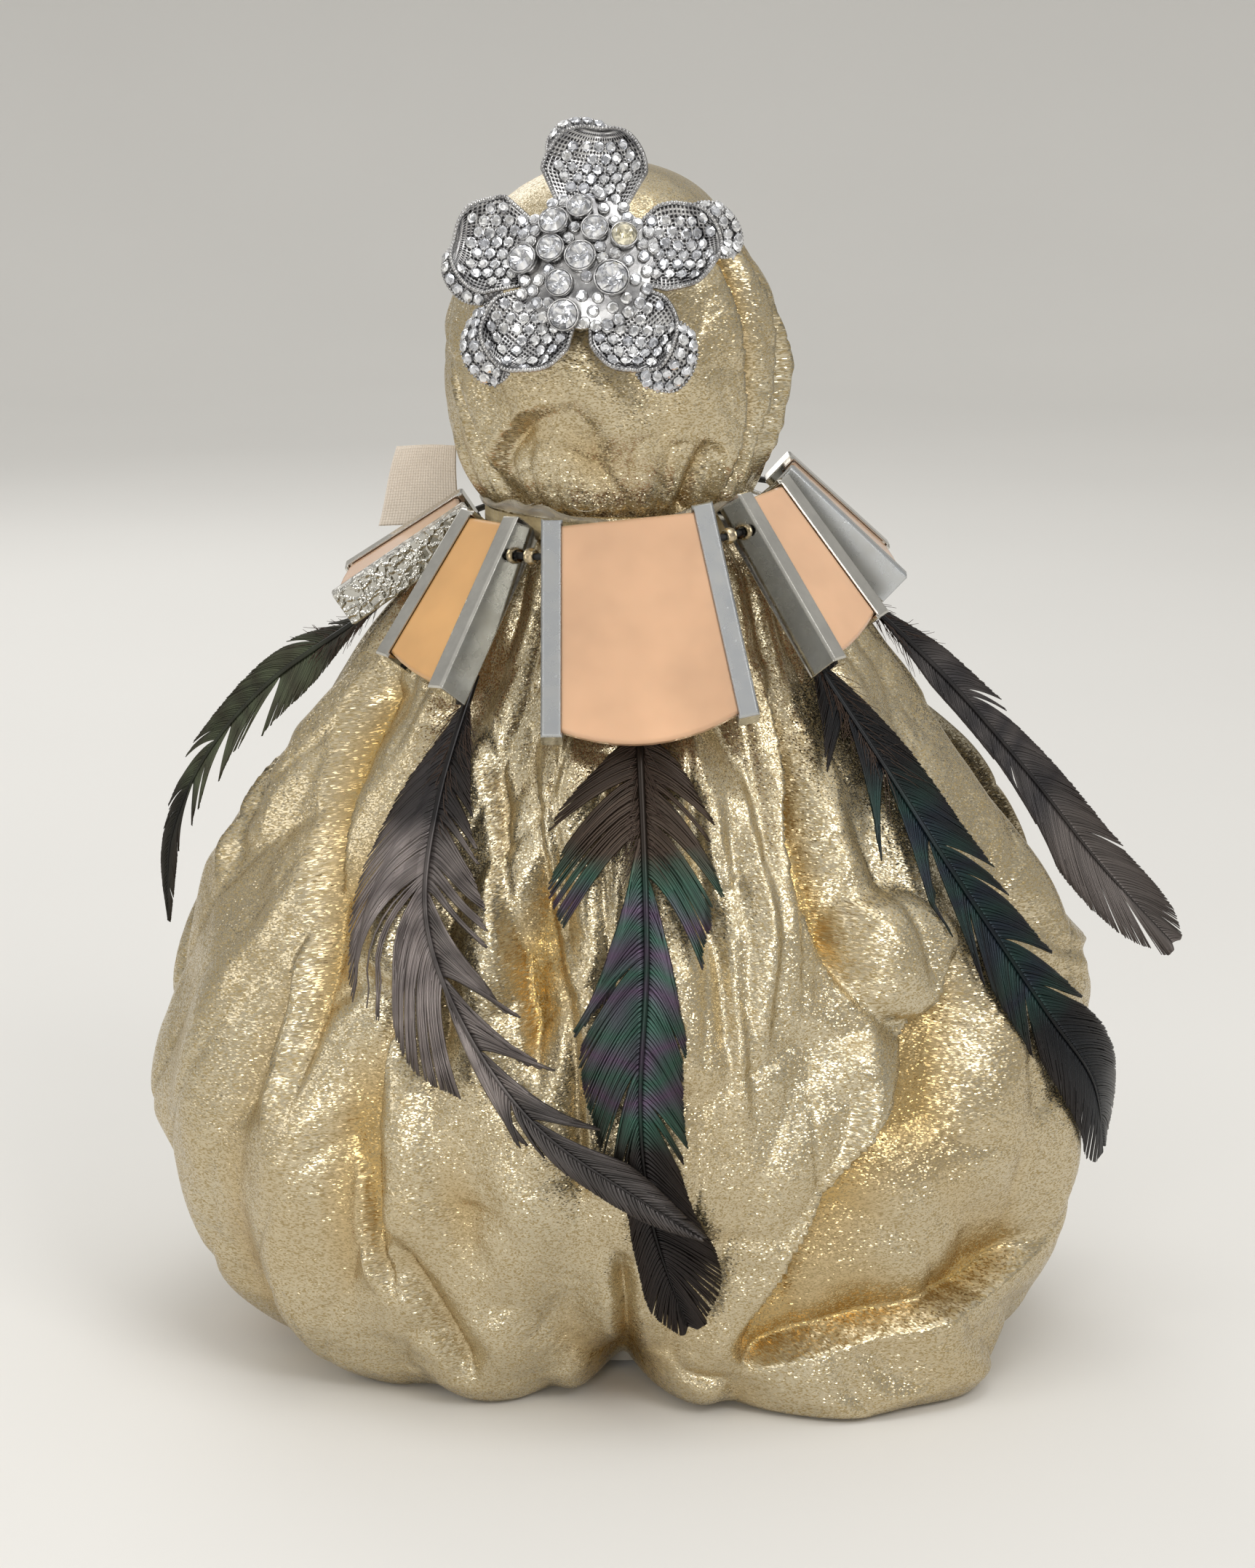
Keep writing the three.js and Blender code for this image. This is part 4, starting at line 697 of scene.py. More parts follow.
def gown_folds(azimuth, height):
    """How far the cloth sinks below the envelope: the folds, the hem's tucks, gathers at the neck
    as cosines that grow upwards, flat panels that meet in creases as a triangle wave with a
    wandering phase, a drape of standing waves, and soft waves with creases where they pass through
    nothing, less the pouch."""
    sink = sum(fold_depth(azimuth, height, gown_girth, *fold) for fold in GOWN_FOLDS)
    for at, width, depth, _ in HEM_TUCKS:
        sink = sink + depth * swelling(azimuth, at, width) * (1 - smooth(height, 0, HEM_HEIGHT))
    drift = 0.5 * waves(azimuth, height, 5, 6, (2, 7), (60, 140))
    gathers = 1 - np.abs(np.cos(GATHERS * azimuth + drift + 0.6 * np.sin(5 * azimuth)))
    grown = smooth(height, 128, 185) * (1 - 0.5 * smooth(height, 196, 200))
    sink = sink + GATHER_DEPTH * gathers * grown
    t = height / GOWN_HEIGHT
    sway = PANEL_SWAY[0] * np.sin(3 * azimuth + 5 * t) + PANEL_SWAY[1] * np.sin(5 * azimuth - 7 * t)
    phase = PANELS * azimuth / (2 * np.pi) + sway
    panel = np.sqrt((2 * (phase % 1) - 1) ** 2 + 0.02)
    strength = 0.72 + 0.28 * np.sin(4 * azimuth - 6 * t)
    sink = sink + PANEL_DEPTH * panel * strength * smooth(t, 0, 0.2) * (1 - smooth(t, 0.6, 0.88))
    soft = waves(azimuth, height, 11, 12, (5, 17), (40, 150))
    crease = np.abs(waves(azimuth, height, 23, 8, (7, 20), (45, 110)))
    calm = 1 - smooth(height, 150, 190)
    drape = waves(azimuth, height, 31, 10, (14, 24), (70, 190))
    slack = 0.7 * (soft + 1.4) + DRAPE_DEPTH * drape + 0.8 + 1.1 * np.exp(-5 * crease)
    sink = sink + calm * slack
    deepest = DEEPEST + HEM_DEEPER * (1 - smooth(height, 0, HEM_HEIGHT))
    return np.minimum(sink, deepest) - pouch_rise(azimuth, height)


def gown_radius(azimuth, height):
    """The cloth's own radius: the envelope less its folds."""
    return envelope(azimuth, height) - gown_folds(azimuth, height)


def spread(fine, coarse, lap=None):
    """Weights that carry a coarse row to a fine one with cubic B-splines: 2/3 - x^2 + x^3/2 up to
    one step away, and (2 - x)^3/6 up to two. With a lap the row is a ring of that many steps."""
    x = np.abs(fine[:, None] - coarse[None])
    if lap:
        x = np.minimum(x, lap - x)
    weights = np.where(x < 1, 2 / 3 - x * x + x**3 / 2, np.maximum(0, 2 - x) ** 3 / 6)
    return weights / weights.sum(1, keepdims=True)


def settle(scene, side):
    """Lets the slack cloth settle. A coarse copy of the gown's side, a little too large for its
    form, runs as cloth held at the neck and the foot, with light pressure from the stuffing and no
    gravity. The wrinkles are what is left of its movement once the movement's own mean over about
    20 mm round each point is taken off, because the stuffing keeps the form. Gives the shift of
    each point of the fine grid."""
    coarse = side[::COARSE_ROWS, ::COARSE_COLUMNS] * MM
    rows, columns = coarse.shape[:2]
    ids, quads = ring_quads(rows, columns)
    mesh = bpy.data.meshes.new("settling_cloth")
    mesh.from_pydata(coarse.reshape(-1, 3).tolist(), [], quads.tolist())
    piece = bpy.data.objects.new("settling_cloth", mesh)
    scene.collection.objects.link(piece)
    held = piece.vertex_groups.new(name="held")
    held.add(np.concatenate([ids[:2], ids[-6:]]).ravel().tolist(), 1.0, "REPLACE")
    cloth = piece.modifiers.new("cloth", "CLOTH")
    cloth.collision_settings.use_collision = False
    cloth.point_cache.frame_end = SETTLE_FRAMES
    rules = cloth.settings
    rules.vertex_group_mass = "held"
    rules.quality = SETTLE_QUALITY
    rules.mass = SETTLE_MASS
    rules.shrink_min = -SETTLE_SLACK
    rules.bending_stiffness = SETTLE_BENDING
    rules.use_pressure = True
    rules.uniform_pressure_force = SETTLE_PRESSURE
    rules.effector_weights.gravity = 0
    for step in range(1, SETTLE_FRAMES + 1):
        scene.frame_set(step)
    settled = piece.evaluated_get(bpy.context.evaluated_depsgraph_get())
    places = np.empty(rows * columns * 3)
    settled.data.vertices.foreach_get("co", places)
    shift = (places.reshape(coarse.shape) - coarse) / MM
    bpy.data.objects.remove(piece)
    scene.frame_set(1)
    outward = unit(coarse * [1, 1, 0])
    reach = (shift * outward).sum(-1)
    broad = reach
    for _ in range(SETTLE_SPAN):
        ends = np.concatenate([broad[:1], broad, broad[-1:]])
        beside = np.roll(broad, 1, 1) + np.roll(broad, -1, 1)
        broad = (2 * broad + beside + ends[2:] + ends[:-2]) / 6
    reach = np.clip(SETTLE_GAIN * (reach - broad), -SETTLE_IN, SETTLE_OUT)
    down = spread(np.arange(len(side)) / COARSE_ROWS, np.arange(rows))
    across = spread(np.arange(side.shape[1]) / COARSE_COLUMNS, np.arange(columns), columns)
    fine = down @ reach @ across.T
    return fine[..., None] * unit(side * [1, 1, 0])


def make_gown(scene, material):
    """Rings of the gown from the middle of its foot, out under it, over the folds and in at the
    neck. The hem is rounded by 1 - sqrt(1 - t^2), where t goes from 1 at the floor to 0."""
    count = GOWN_SIDES
    azimuth = np.linspace(-np.pi, np.pi, count, endpoint=False)
    height = np.concatenate([np.linspace(0.8, 30, 46), np.linspace(30, GOWN_HEIGHT, 165)[1:]])
    z, a = np.meshgrid(height, azimuth, indexing="ij")
    sink = gown_folds(a, z)
    away = 1 - np.clip(z / HEM_ROUND_UP, 0, 1)
    r = envelope(a, z) - sink - HEM_ROUND_IN * (1 - np.sqrt(1 - away**2))
    lift = sum(rise * swelling(a, at, width) for at, width, _, rise in HEM_TUCKS)
    lift = lift * (1 - smooth(z, 0, 22))
    side = round_axis(a, r, z + lift)
    side = side + settle(scene, side)
    shares = np.array([0.02, 0.2, 0.4, 0.6, 0.78, 0.9, 0.97])[:, None]
    foot = round_axis(azimuth + 0 * shares, shares * r[0], lift[0] * shares**4)
    neck = [round_axis(azimuth, r[-1] - inset, np.full(count, GOWN_HEIGHT + rise))
            for inset, rise in ((0.5, 0.4), (1.2, 0.3), (1.6, -0.6), (1.7, -6.0))]
    grid = np.concatenate([foot, side, np.stack(neck)])
    # fold: share of painted fold gold, a painted shade and reflection, growing with the fold's
    # depth; 0.6 of it inside the neck.
    fold = np.concatenate([np.zeros((len(foot), count)), np.clip((sink - 5.5) / 8, 0, 1),
                           np.full((len(neck), count), 0.6)])
    inside = GOWN_HEIGHT + np.array([0.5, 1.2, 2.2, 7.5])
    run = np.concatenate([-60 * (1 - shares[:, 0]), height, inside])
    uv = ring_map(count, GOWN_MAP_RADIUS, run)
    piece = build("gown_cloth", [tubes(grid, "face", uv, fold=fold)], material,
                  replaces=("gown", "stuffing"))
    return piece


# Hood

HEAD_HEIGHT, HEAD_RADIUS, HEAD_RISE, HEAD_LEAN = 245, 40.7, 40, -2.5
NECK_RADIUS = 30.5
HOOD_FOOT = 197
HOOD_GATHERS, HOOD_GATHER_DEPTH = 17, 1.1
HOOD_SIDES, HOOD_MAP_RADIUS = 260, 36
HOOD_FOLDS = [
    (5.2, 4, 8, [(44, 276), (51, 262), (54, 244), (58, 228), (53, 212), (48, 202)]),
    (3.8, 2.6, 8, [(68, 270), (76, 246), (72, 224), (62, 204)]),
    (3.8, 8, 2.6, [(88, 264), (94, 240), (84, 208)]),
    (2.4, 2.6, 12, [(-8, 231), (-34, 227), (-50, 217), (-54, 203)]),
    (2.2, 2.6, 7, [(-78, 243), (-64, 219), (-56, 203)]),
    (1.4, 2.4, 7, [(36, 224), (29, 212), (24, 203)]),
    (-2.6, 5, 4, [(70, 264), (80, 247), (84, 228), (76, 206)]),
    (2.6, 3, 9, [(118, 259), (122, 229), (112, 203)]),
    (2.8, 9, 3, [(152, 255), (148, 225), (150, 201)]),
    (2.8, 3, 9, [(186, 259), (190, 227), (186, 201)]),
    (2.6, 9, 3, [(222, 253), (216, 225), (220, 201)]),
    (2.4, 3, 8, [(252, 247), (258, 223), (254, 201)]),
]
# Bell-shaped hollows: depth, azimuth, half width in degrees, height, half height. The first swells.
HOOD_HOLLOWS = [(-4.5, -88, 34, 212, 13), (4.0, 82, 32, 267, 13), (3.0, 4, 26, 219, 11)]


def hood_girth(height):
    """The head's radius: a sphere above its widest level, and below it the neck's radius plus the
    rest times (1 - u^2)^0.9, where u goes from 0 to 1 down to the neck."""
    above = np.sqrt(np.maximum(HEAD_RADIUS**2 - np.maximum(height - HEAD_HEIGHT, 0) ** 2, 1))
    u = np.clip((HEAD_HEIGHT - height) / HEAD_RISE, 0, 1)
    below = NECK_RADIUS + (HEAD_RADIUS - NECK_RADIUS) * (1 - u * u) ** 0.9
    return np.where(height > HEAD_HEIGHT, above, below)


def make_hood(material):
    """Rings of the hood from inside the neck up to the crown: the head's radius less its folds, its
    neck gathers, soft waves, bell-shaped hollows over the throat and at the upper right, and a
    swell on the left."""
    azimuth = np.linspace(-np.pi, np.pi, HOOD_SIDES, endpoint=False)
    rise = np.linspace(0, math.radians(88.6), 60)[1:]
    height = np.concatenate([np.linspace(HOOD_FOOT, HEAD_HEIGHT, 70),
                             HEAD_HEIGHT + HEAD_RADIUS * np.sin(rise)])
    z, a = np.meshgrid(height, azimuth, indexing="ij")
    sink = sum(fold_depth(a, z, hood_girth, *fold) for fold in HOOD_FOLDS)
    gathers = 1 - np.abs(np.cos(HOOD_GATHERS * a + 0.8 * np.sin(3 * a + z / 14)))
    gathers = gathers * (1 - 0.75 * swelling(a, 0, 40))
    sink = sink + HOOD_GATHER_DEPTH * gathers * (1 - smooth(z, 204, 232)) * smooth(z, 197, 203)
    crown = 1 - smooth(z, 265, 283)
    soft = waves(a, z, 41, 10, (4, 12), (24, 70)) * crown
    crease = np.abs(waves(a, z, 53, 8, (7, 17), (18, 46)))
    hollow = sum(depth * swelling(a, at, width) * np.exp(-(((z - level) / tall) ** 2))
                 for depth, at, width, level, tall in HOOD_HOLLOWS)
    sink = 1.6 * sink + 1.1 * (soft + 1.2) * crown + 0.5 * np.exp(-4 * crease) * crown + hollow
    grid = round_axis(a, hood_girth(z) - sink, z)
    grid[..., 0] += HEAD_LEAN * smooth(z, GOWN_HEIGHT, HEAD_HEIGHT)
    run = np.concatenate([[0], np.cumsum(np.linalg.norm(np.diff(grid[:, 0], axis=0), axis=-1))])
    uv = ring_map(HOOD_SIDES, HOOD_MAP_RADIUS, run)
    # fold: share of painted fold gold, a painted shade and reflection, growing with the depth.
    fold = np.clip((sink - 3) / 6, 0, 1)
    piece = build("hood_cloth", [tubes(grid, "face", uv, fold=fold)], material,
                  replaces=("head_hood", "head_core"))
    return piece


# Neck

BAND_SIDES = 360
BAND_OUTLINE = [(32.3, 199.8), (32.9, 199.7), (33.0, 202.2), (32.9, 204.7), (32.3, 204.6),
                (32.2, 202.2)]
BAND_MAP_RADIUS = 33
GLUE_RADIUS, GLUE_LEVEL = 33.0, 206.2
GLUE_BLOBS, BLOB_WIDTH = (-48, -34, 31, 44, 140, 226), math.degrees(0.11)
# Strings of glue: from one azimuth to another, and how far each sags.
STRING_RADIUS, STRING_LEVEL, STRING_HALF = 34.2, 208.2, 0.13
GLUE_STRINGS = [(-50, -33, 1.6), (-46, -37, 0.7), (30, 46, 1.8), (33, 42, 0.8), (-20, -9, 1.0)]


def make_band(material):
    """The elastic: a flat ring whose face is ribbed by cosines round the neck."""
    azimuth = np.linspace(0, 2 * np.pi, BAND_SIDES, endpoint=False)
    rib = 0.12 * np.cos(90 * azimuth)
    grid = np.stack([round_axis(azimuth, r + rib * (r > 32.5), z) for r, z in BAND_OUTLINE], 1)
    girth = np.linspace(0, 2 * np.pi, BAND_SIDES + 1) * BAND_MAP_RADIUS
    uv = np.stack(np.meshgrid(np.arange(7) * 2.0, girth), -1)
    return build("neck_elastic", [tubes(grid, "wrap", uv)], material,
                 replaces=("neck_band",))


def make_glue(material):
    """The glue: a ring whose thickness and height wander by waves, with blobs where more was laid,
    and hair-thin strings drawn between neighbouring blobs on sagging curves."""
    azimuth = np.linspace(0, 2 * np.pi, 300, endpoint=False)
    swell = 0.5 * waves(azimuth, azimuth, 61, 9, (4, 23), (5, 9))
    blobs = sum(2.2 * swelling(azimuth, at, BLOB_WIDTH) for at in GLUE_BLOBS)
    half = (0.85 + 0.25 * swell + 0.32 * blobs) * (1 - 0.4 * swelling(azimuth, 92, 26))
    angle = 2 * np.pi * np.arange(10) / 10
    lift = GLUE_LEVEL + 0.35 * swell + 0.3 * blobs - 2.2 * swelling(azimuth, 0, 26)
    r = GLUE_RADIUS + half[:, None] * (0.9 * np.cos(angle) + 0.55)
    z = lift[:, None] + half[:, None] * np.sin(angle)
    ring = round_axis(azimuth[:, None] + 0 * angle, r, z)
    sets = [tubes(ring, "wrap")]
    for start, stop, sag in GLUE_STRINGS:
        t = np.linspace(0, 1, 14)
        turn = np.radians(start + (stop - start) * t)
        height = STRING_LEVEL - sag * 4 * t * (1 - t)
        path = round_axis(turn, STRING_RADIUS + 1.2 * np.sin(np.pi * t), height)
        sets.append(tubes(along_path(path, STRING_HALF, 5)))
    return build("glue_ring", sets, material, replaces=("glue_bead",))


# Feathers

SHAFT_POINTS = 300
# Splits die away over these shares of the length, on their tip's side and on their root's side.
SPLIT_TO_TIP, SPLIT_TO_ROOT = 0.07, 0.05
DOWN_HAIRS = 90
# Each feather: its node and body, its tip's share of the gown's height, its twist, its path as
# (share of the way down, azimuth, stand-off), the half widths of its right and left vane as (share,
# width), the splits in each vane as (share, how far it gapes as a share of the length, by what
# share the barbs past it are shorter), how many small splits are added to each vane and the seed of
# its random draws.
FEATHERS = [
    dict(node="far_left_feather", body="far_left_feather", tip=0.488, twist=-40,
         path=[(0, -91, 1.2), (0.1, -92, 3.5), (0.28, -93, 12), (0.5, -93, 12), (0.75, -93, 8),
               (1, -93, 1.5)],
         right=[(0.04, 0.6), (0.15, 5), (0.32, 10), (0.5, 9.5), (0.7, 7), (0.88, 4), (1, 0.5)],
         left=[(0.04, 0.6), (0.15, 4), (0.3, 7.5), (0.55, 7), (0.8, 4.5), (0.93, 2.5), (1, 0.5)],
         splits=([(0.34, 0.03, 0.3), (0.5, 0.03, 0.35), (0.66, 0.03, 0.35)], [(0.55, 0.02, 0.3)]),
         loose=7, seed=3),
    dict(node="left_feather", body="left_feather", tip=0.244, twist=0,
         path=[(0, -44, 1.2), (0.22, -40, 1.2), (0.42, -34, 2.4), (0.6, -24, 4.6), (0.78, -12, 5),
               (0.92, 3, 5), (1, 12, 5)],
         right=[(0.04, 0.6), (0.12, 6), (0.22, 10.5), (0.34, 16.5), (0.46, 15), (0.55, 11),
                (0.64, 11.5), (0.75, 9), (0.88, 5), (1, 0.5)],
         left=[(0.04, 0.6), (0.12, 7), (0.22, 13), (0.34, 18), (0.46, 19.5), (0.56, 16),
               (0.64, 7.5), (0.78, 5), (0.9, 4), (1, 0.5)],
         splits=([(0.33, 0.025, 0.25), (0.46, 0.04, 0.4), (0.58, 0.045, 0.45), (0.7, 0.03, 0.4)],
                 [(0.3, 0.008, 0.08), (0.47, 0.05, 0.5), (0.66, 0.02, 0.3)]),
         loose=8, seed=8),
    dict(node="centre_feather", body="doll", tip=0.122, twist=0,
         path=[(0, 4, 1.2), (0.35, 4, 1.2), (0.6, 2.6, 1.2), (0.8, 4.5, 1.4), (1, 11, 2)],
         right=[(0.03, 0.8), (0.08, 8), (0.16, 13), (0.26, 17), (0.33, 15.5), (0.4, 11), (0.55, 10),
                (0.68, 9.5), (0.78, 10), (0.88, 12), (0.95, 10), (1, 3)],
         left=[(0.03, 0.8), (0.08, 8), (0.16, 17), (0.26, 21), (0.31, 19), (0.38, 14), (0.46, 15.5),
               (0.56, 14), (0.66, 9), (0.76, 5.5), (0.86, 6), (0.94, 6.5), (1, 2.5)],
         splits=([(0.1, 0.01, 0.1), (0.26, 0.045, 0.42), (0.6, 0.01, 0.1)],
                 [(0.1, 0.02, 0.12), (0.19, 0.08, 0.5), (0.55, 0.015, 0.15)]), loose=6, seed=15),
    dict(node="right_feather", body="right_feather", tip=0.234, twist=20,
         path=[(0, 58, 1.2), (0.2, 60, 1.2), (0.4, 61, 1.2), (0.66, 67, 1.4), (0.82, 74, 2),
               (1, 83, 4)],
         right=[(0.03, 0.8), (0.1, 7), (0.25, 10.5), (0.45, 10), (0.65, 11), (0.8, 11.5),
                (0.92, 9.5), (0.98, 6), (1, 2)],
         left=[(0.03, 0.8), (0.1, 8), (0.2, 13.5), (0.35, 14), (0.5, 11), (0.65, 10),
               (0.82, 10.5), (0.93, 9), (0.98, 6), (1, 2)],
         splits=([(0.52, 0.02, 0.15)],
                 [(0.12, 0.05, 0.4), (0.22, 0.06, 0.45), (0.34, 0.04, 0.3), (0.6, 0.01, 0.1)]),
         loose=4, seed=21),
    dict(node="far_right_feather", body="far_right_feather", tip=0.459, twist=45,
         path=[(0, 95, 1.2), (0.1, 95, 2.5), (0.3, 94, 6), (0.55, 93, 6), (0.78, 92.5, 11),
               (1, 92, 24)],
         right=[(0.03, 0.8), (0.15, 5), (0.35, 8), (0.6, 9.5), (0.85, 10), (0.95, 8.5), (1, 4)],
         left=[(0.03, 0.8), (0.15, 5), (0.35, 9), (0.6, 12), (0.82, 12.5), (0.93, 9), (1, 3)],
         splits=([(0.7, 0.006, 0.05)], [(0.5, 0.01, 0.1), (0.84, 0.02, 0.15)]), loose=2, seed=30),
]


def feather_frame(feather):
    """The shaft as even points down the path, with the vane's direction and its normal at each. The
    direction is the tangent crossed with straight out, turned about the tangent by the twist."""
    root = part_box(feather["node"])[1].z / MM - 0.8
    tip = feather["tip"] * GOWN_HEIGHT
    share, azimuth, standoff = np.array(feather["path"], float).T
    height = root + (tip - root) * share
    turn = np.radians(azimuth)
    line = spline(round_axis(turn, envelope(turn, height) + standoff, height), 400)
    shaft = even(line, SHAFT_POINTS)
    tangent = unit(np.gradient(shaft, axis=0))
    outward = unit(shaft * [1, 1, 0])
    across = unit(np.cross(tangent, outward))
    t = np.linspace(0, 1, SHAFT_POINTS)
    twist = np.radians(feather["twist"]) * smooth(t, 0, 0.3)[:, None]
    across = across * np.cos(twist) + np.cross(tangent, across) * np.sin(twist)
    return shaft, across, unit(np.cross(across, tangent))


def sample(table, t):
    """Rows of a table down the shaft at shares t."""
    shares = np.linspace(0, 1, len(table))
    return np.stack([np.interp(t, shares, column) for column in table.T], -1)


def clear_of_gown(points, standoff):
    """Points moved straight out where they are less than the stand-off from the gown."""
    azimuth = np.arctan2(points[..., 0], -points[..., 1])
    radius = np.hypot(points[..., 0], points[..., 1])
    height = points[..., 2]
    least = np.maximum(gown_radius(azimuth, height), envelope(azimuth, height) - 3) + standoff
    return round_axis(azimuth, np.maximum(radius, least), height)


def vane_width(feather, t, side):
    """Half width of a vane, on a Catmull-Rom curve through its table."""
    line = spline(feather["right" if side == 0 else "left"], 300)
    return np.interp(t, line[:, 0], line[:, 1])


def make_barbs(feather, count):
    """Barbs of both vanes as thin three-sided strips. A barb leaves the shaft at share t, and at
    share s of its own length it is s^0.9 of the vane's width out and has run s^1.3 of its lead
    towards the tip. At a split the barbs past it swing towards the tip and are shorter, and those
    before it swing a little back and are longer, all by amounts that die away from the split as
    exp(-distance / reach)."""
    shaft, across, normal = feather_frame(feather)
    length = np.linalg.norm(np.diff(shaft, axis=0), axis=1).sum()
    pick = np.random.default_rng(feather["seed"])
    s = np.linspace(0, 1, 10)
    sets = []
    for side in (0, 1):
        t = np.linspace(0.03, 0.99, count) + pick.uniform(-0.3, 0.3, count) / count
        width = vane_width(feather, t, side)
        lead = np.minimum(1.35 * width / length * (1 + pick.normal(0, 0.012, count)), 1.01 - t)
        along = t[:, None] + lead[:, None] * s**1.3
        small = [(at, pick.uniform(0.003, 0.009), pick.uniform(0.03, 0.12))
                 for at in pick.uniform(0.1, 0.95, feather["loose"])]
        length_share = 1 + pick.normal(0, 0.012, count)
        for at, gape, step in [*feather["splits"][side], *small]:
            past = np.where(t > at, np.exp(-(t - at) / SPLIT_TO_TIP), 0)
            before = np.where(t <= at, np.exp(-(at - t) / SPLIT_TO_ROOT), 0)
            along = along + (gape * past - 0.3 * gape * before)[:, None] * s**1.5
            length_share = length_share * (1 + 0.6 * step * before - step * past)
        along = np.clip(along, 0, 1)
        ends = vane_width(feather, np.clip(t + lead, 0, 1), side)
        reach = np.maximum(ends, 0.35 * width) * length_share
        out = reach[:, None] * s**0.9
        direction = sample(across, along) * (-1 if side == 0 else 1)
        up = sample(normal, along)
        drift = np.cumsum(pick.normal(0, 0.05, count))
        lift = 0.5 * np.sin(np.pi * s) + 0.3 * np.sin(drift)[:, None] * s**2
        lift = lift + 0.05 * (np.arange(count) % 3)[:, None]
        line = sample(shaft, along) + out[..., None] * direction + lift[..., None] * up
        line = clear_of_gown(line, min(3.1, feather["path"][len(feather["path"]) // 2][2]))
        half = length / count * (0.85 - 0.35 * s**3)[None, :, None]
        grid = strips(line, up, half, 0.14)
        # tone: a random brightness per barb, drawn as painted sheen by the material.
        tone = np.clip(0.5 + 0.18 * np.sin(2.3 * drift) + 0.13 * pick.normal(size=count), 0, 1)
        sets.append(tubes(grid, "face", along=along[..., None], tone=tone[:, None, None],
                          edge=(s**2)[None, :, None]))
    return sets


def make_down(feather, count):
    """Down at the foot of the vane: hairs that leave the shaft sideways and wander as sines."""
    shaft, across, normal = feather_frame(feather)
    pick = np.random.default_rng(feather["seed"] + 100)
    s = np.linspace(0, 1, 8)
    t = pick.uniform(0.03, 0.22, count)
    side = pick.choice([-1, 1], count)[:, None]
    out = side * pick.uniform(3, 9, count)[:, None] * s
    along = np.clip(t[:, None] + pick.uniform(0.01, 0.09, count)[:, None] * s, 0, 1)
    swing = pick.uniform(0.2, 0.9, count)[:, None]
    wander = swing * np.sin(pick.uniform(2, 6, count)[:, None] * s + side)
    up = sample(normal, along)
    rise = (wander * s + pick.uniform(0, 1.2, count)[:, None] * s)[..., None]
    line = sample(shaft, along) + out[..., None] * sample(across, along) + rise * up
    half = 0.16 * (1 - 0.7 * s)[None, :, None]
    hairs = strips(clear_of_gown(line, 0.6), up, half, 1.5 * half)
    return tubes(hairs, "face", along=along[..., None], tone=0.5, down=1.0)


def make_feather(feather, count, material):
    """A feather: its tapered shaft, the barbs of its vanes and the down at its foot."""
    shaft, _, normal = feather_frame(feather)
    line = shaft[::5] + 0.25 * normal[::5]
    t = np.linspace(0, 1, len(line))
    quill = along_path(line, 0.85 * (1 - t) ** 0.8 + 0.12, 8)
    sets = [tubes(quill, "face", along=t[:, None], tone=0.1), *make_barbs(feather, count),
            make_down(feather, DOWN_HAIRS)]
    return build(feather["node"] + "_plume", sets, material, body=feather["body"],
                 replaces=(feather["node"],))


# Brooch

BROOCH_TILT, BROOCH_TURN = math.radians(66), math.radians(-8)
BROOCH_REACH = 43.7
BROOCH_PLACE = np.array([HEAD_LEAN, 0, HEAD_HEIGHT]) + BROOCH_REACH * np.array([
    math.sin(BROOCH_TURN) * math.sin(BROOCH_TILT), -math.cos(BROOCH_TURN) * math.sin(BROOCH_TILT),
    math.cos(BROOCH_TILT)])
PETAL_ROOT = 4.0
# Each petal: its node, direction in degrees, length, half width, where its lip starts and ends on
# the rim, as shares of the way round it from the root, and the lip's width.
PETALS = [
    dict(node="petal_top", angle=87, length=28, half=11.8, lip=(0.47, 0.75), width=3.4),
    dict(node="petal_left", angle=171, length=26.5, half=11.6, lip=(0.53, 0.86), width=3.0),
    dict(node="petal_lower_left", angle=234, length=26.5, half=10.2, lip=(0.2, 0.57), width=5.4),
    dict(node="petal_lower_right", angle=307, length=26.5, half=9.8, lip=(0.38, 0.74), width=5.4),
    dict(node="petal_right", angle=10, length=27, half=10.0, lip=(0.4, 0.72), width=4.6),
]
# Large stones: across, up and radius.
LARGE_STONES = [(-0.6, 0.3, 3.2), (-7.3, 8.8, 3.1), (2.3, 7.1, 2.8), (9.0, 5.6, 2.8),
                (-7.5, 2.2, 2.9), (-14.0, 0.0, 3.1), (-1.6, 12.5, 2.7), (-5.0, -6.0, 2.8),
                (6.8, -4.7, 3.6), (-3.7, -13.2, 3.2)]
YELLOW_STONE = 3
# The cluster: its dome's foot, rise and reach, and how far out small stones are tried, how often.
CLUSTER_FOOT, CLUSTER_RISE, CLUSTER_REACH = 2.8 + 0.8, 2.6, 15.5
CLUSTER_EDGE, CLUSTER_TRIES = 16.4, 1600
RIM_GRAIN, PAVE_GRAIN = 0.46, 0.34
# Outlines of turned bodies, as (out, up) in radii.
BRILLIANT = [(0.7, -0.35), (1.0, 0.05), (1.0, 0.2), (0.56, 0.5)]
OPEN_BRILLIANT = [(0.8, -0.4), (1.0, 0.0), (1.0, 0.14), (0.64, 0.5), (0.36, 0.24), (0.05, 0.02)]
COLLET = [(0.85, -0.62), (1.08, -0.5), (1.16, 0.05), (1.06, 0.16), (1.02, 0.0), (0.8, -0.5)]
POST = [(0.9, -1.6), (1.12, -1.5), (1.12, -0.1), (0.9, -0.1)]
BALL = [(0.35, -0.9), (0.87, -0.5), (1.0, 0.0), (0.87, 0.5), (0.35, 0.9)]


def on_head(points):
    """Brooch coordinates, across, up and out of its face, turned by its tilt and then its turn, and
    moved to its place."""
    c, s = math.cos(BROOCH_TILT), math.sin(BROOCH_TILT)
    tilt = np.array([[1, 0, 0], [0, c, -s], [0, s, c]])
    c, s = math.cos(BROOCH_TURN), math.sin(BROOCH_TURN)
    turn = np.array([[c, -s, 0], [s, c, 0], [0, 0, 1]])
    return points @ (turn @ tilt).T + BROOCH_PLACE


def facing(directions):
    """Directions in brooch coordinates, turned as on_head() turns points."""
    return on_head(directions) - on_head(np.zeros((1, 3)))


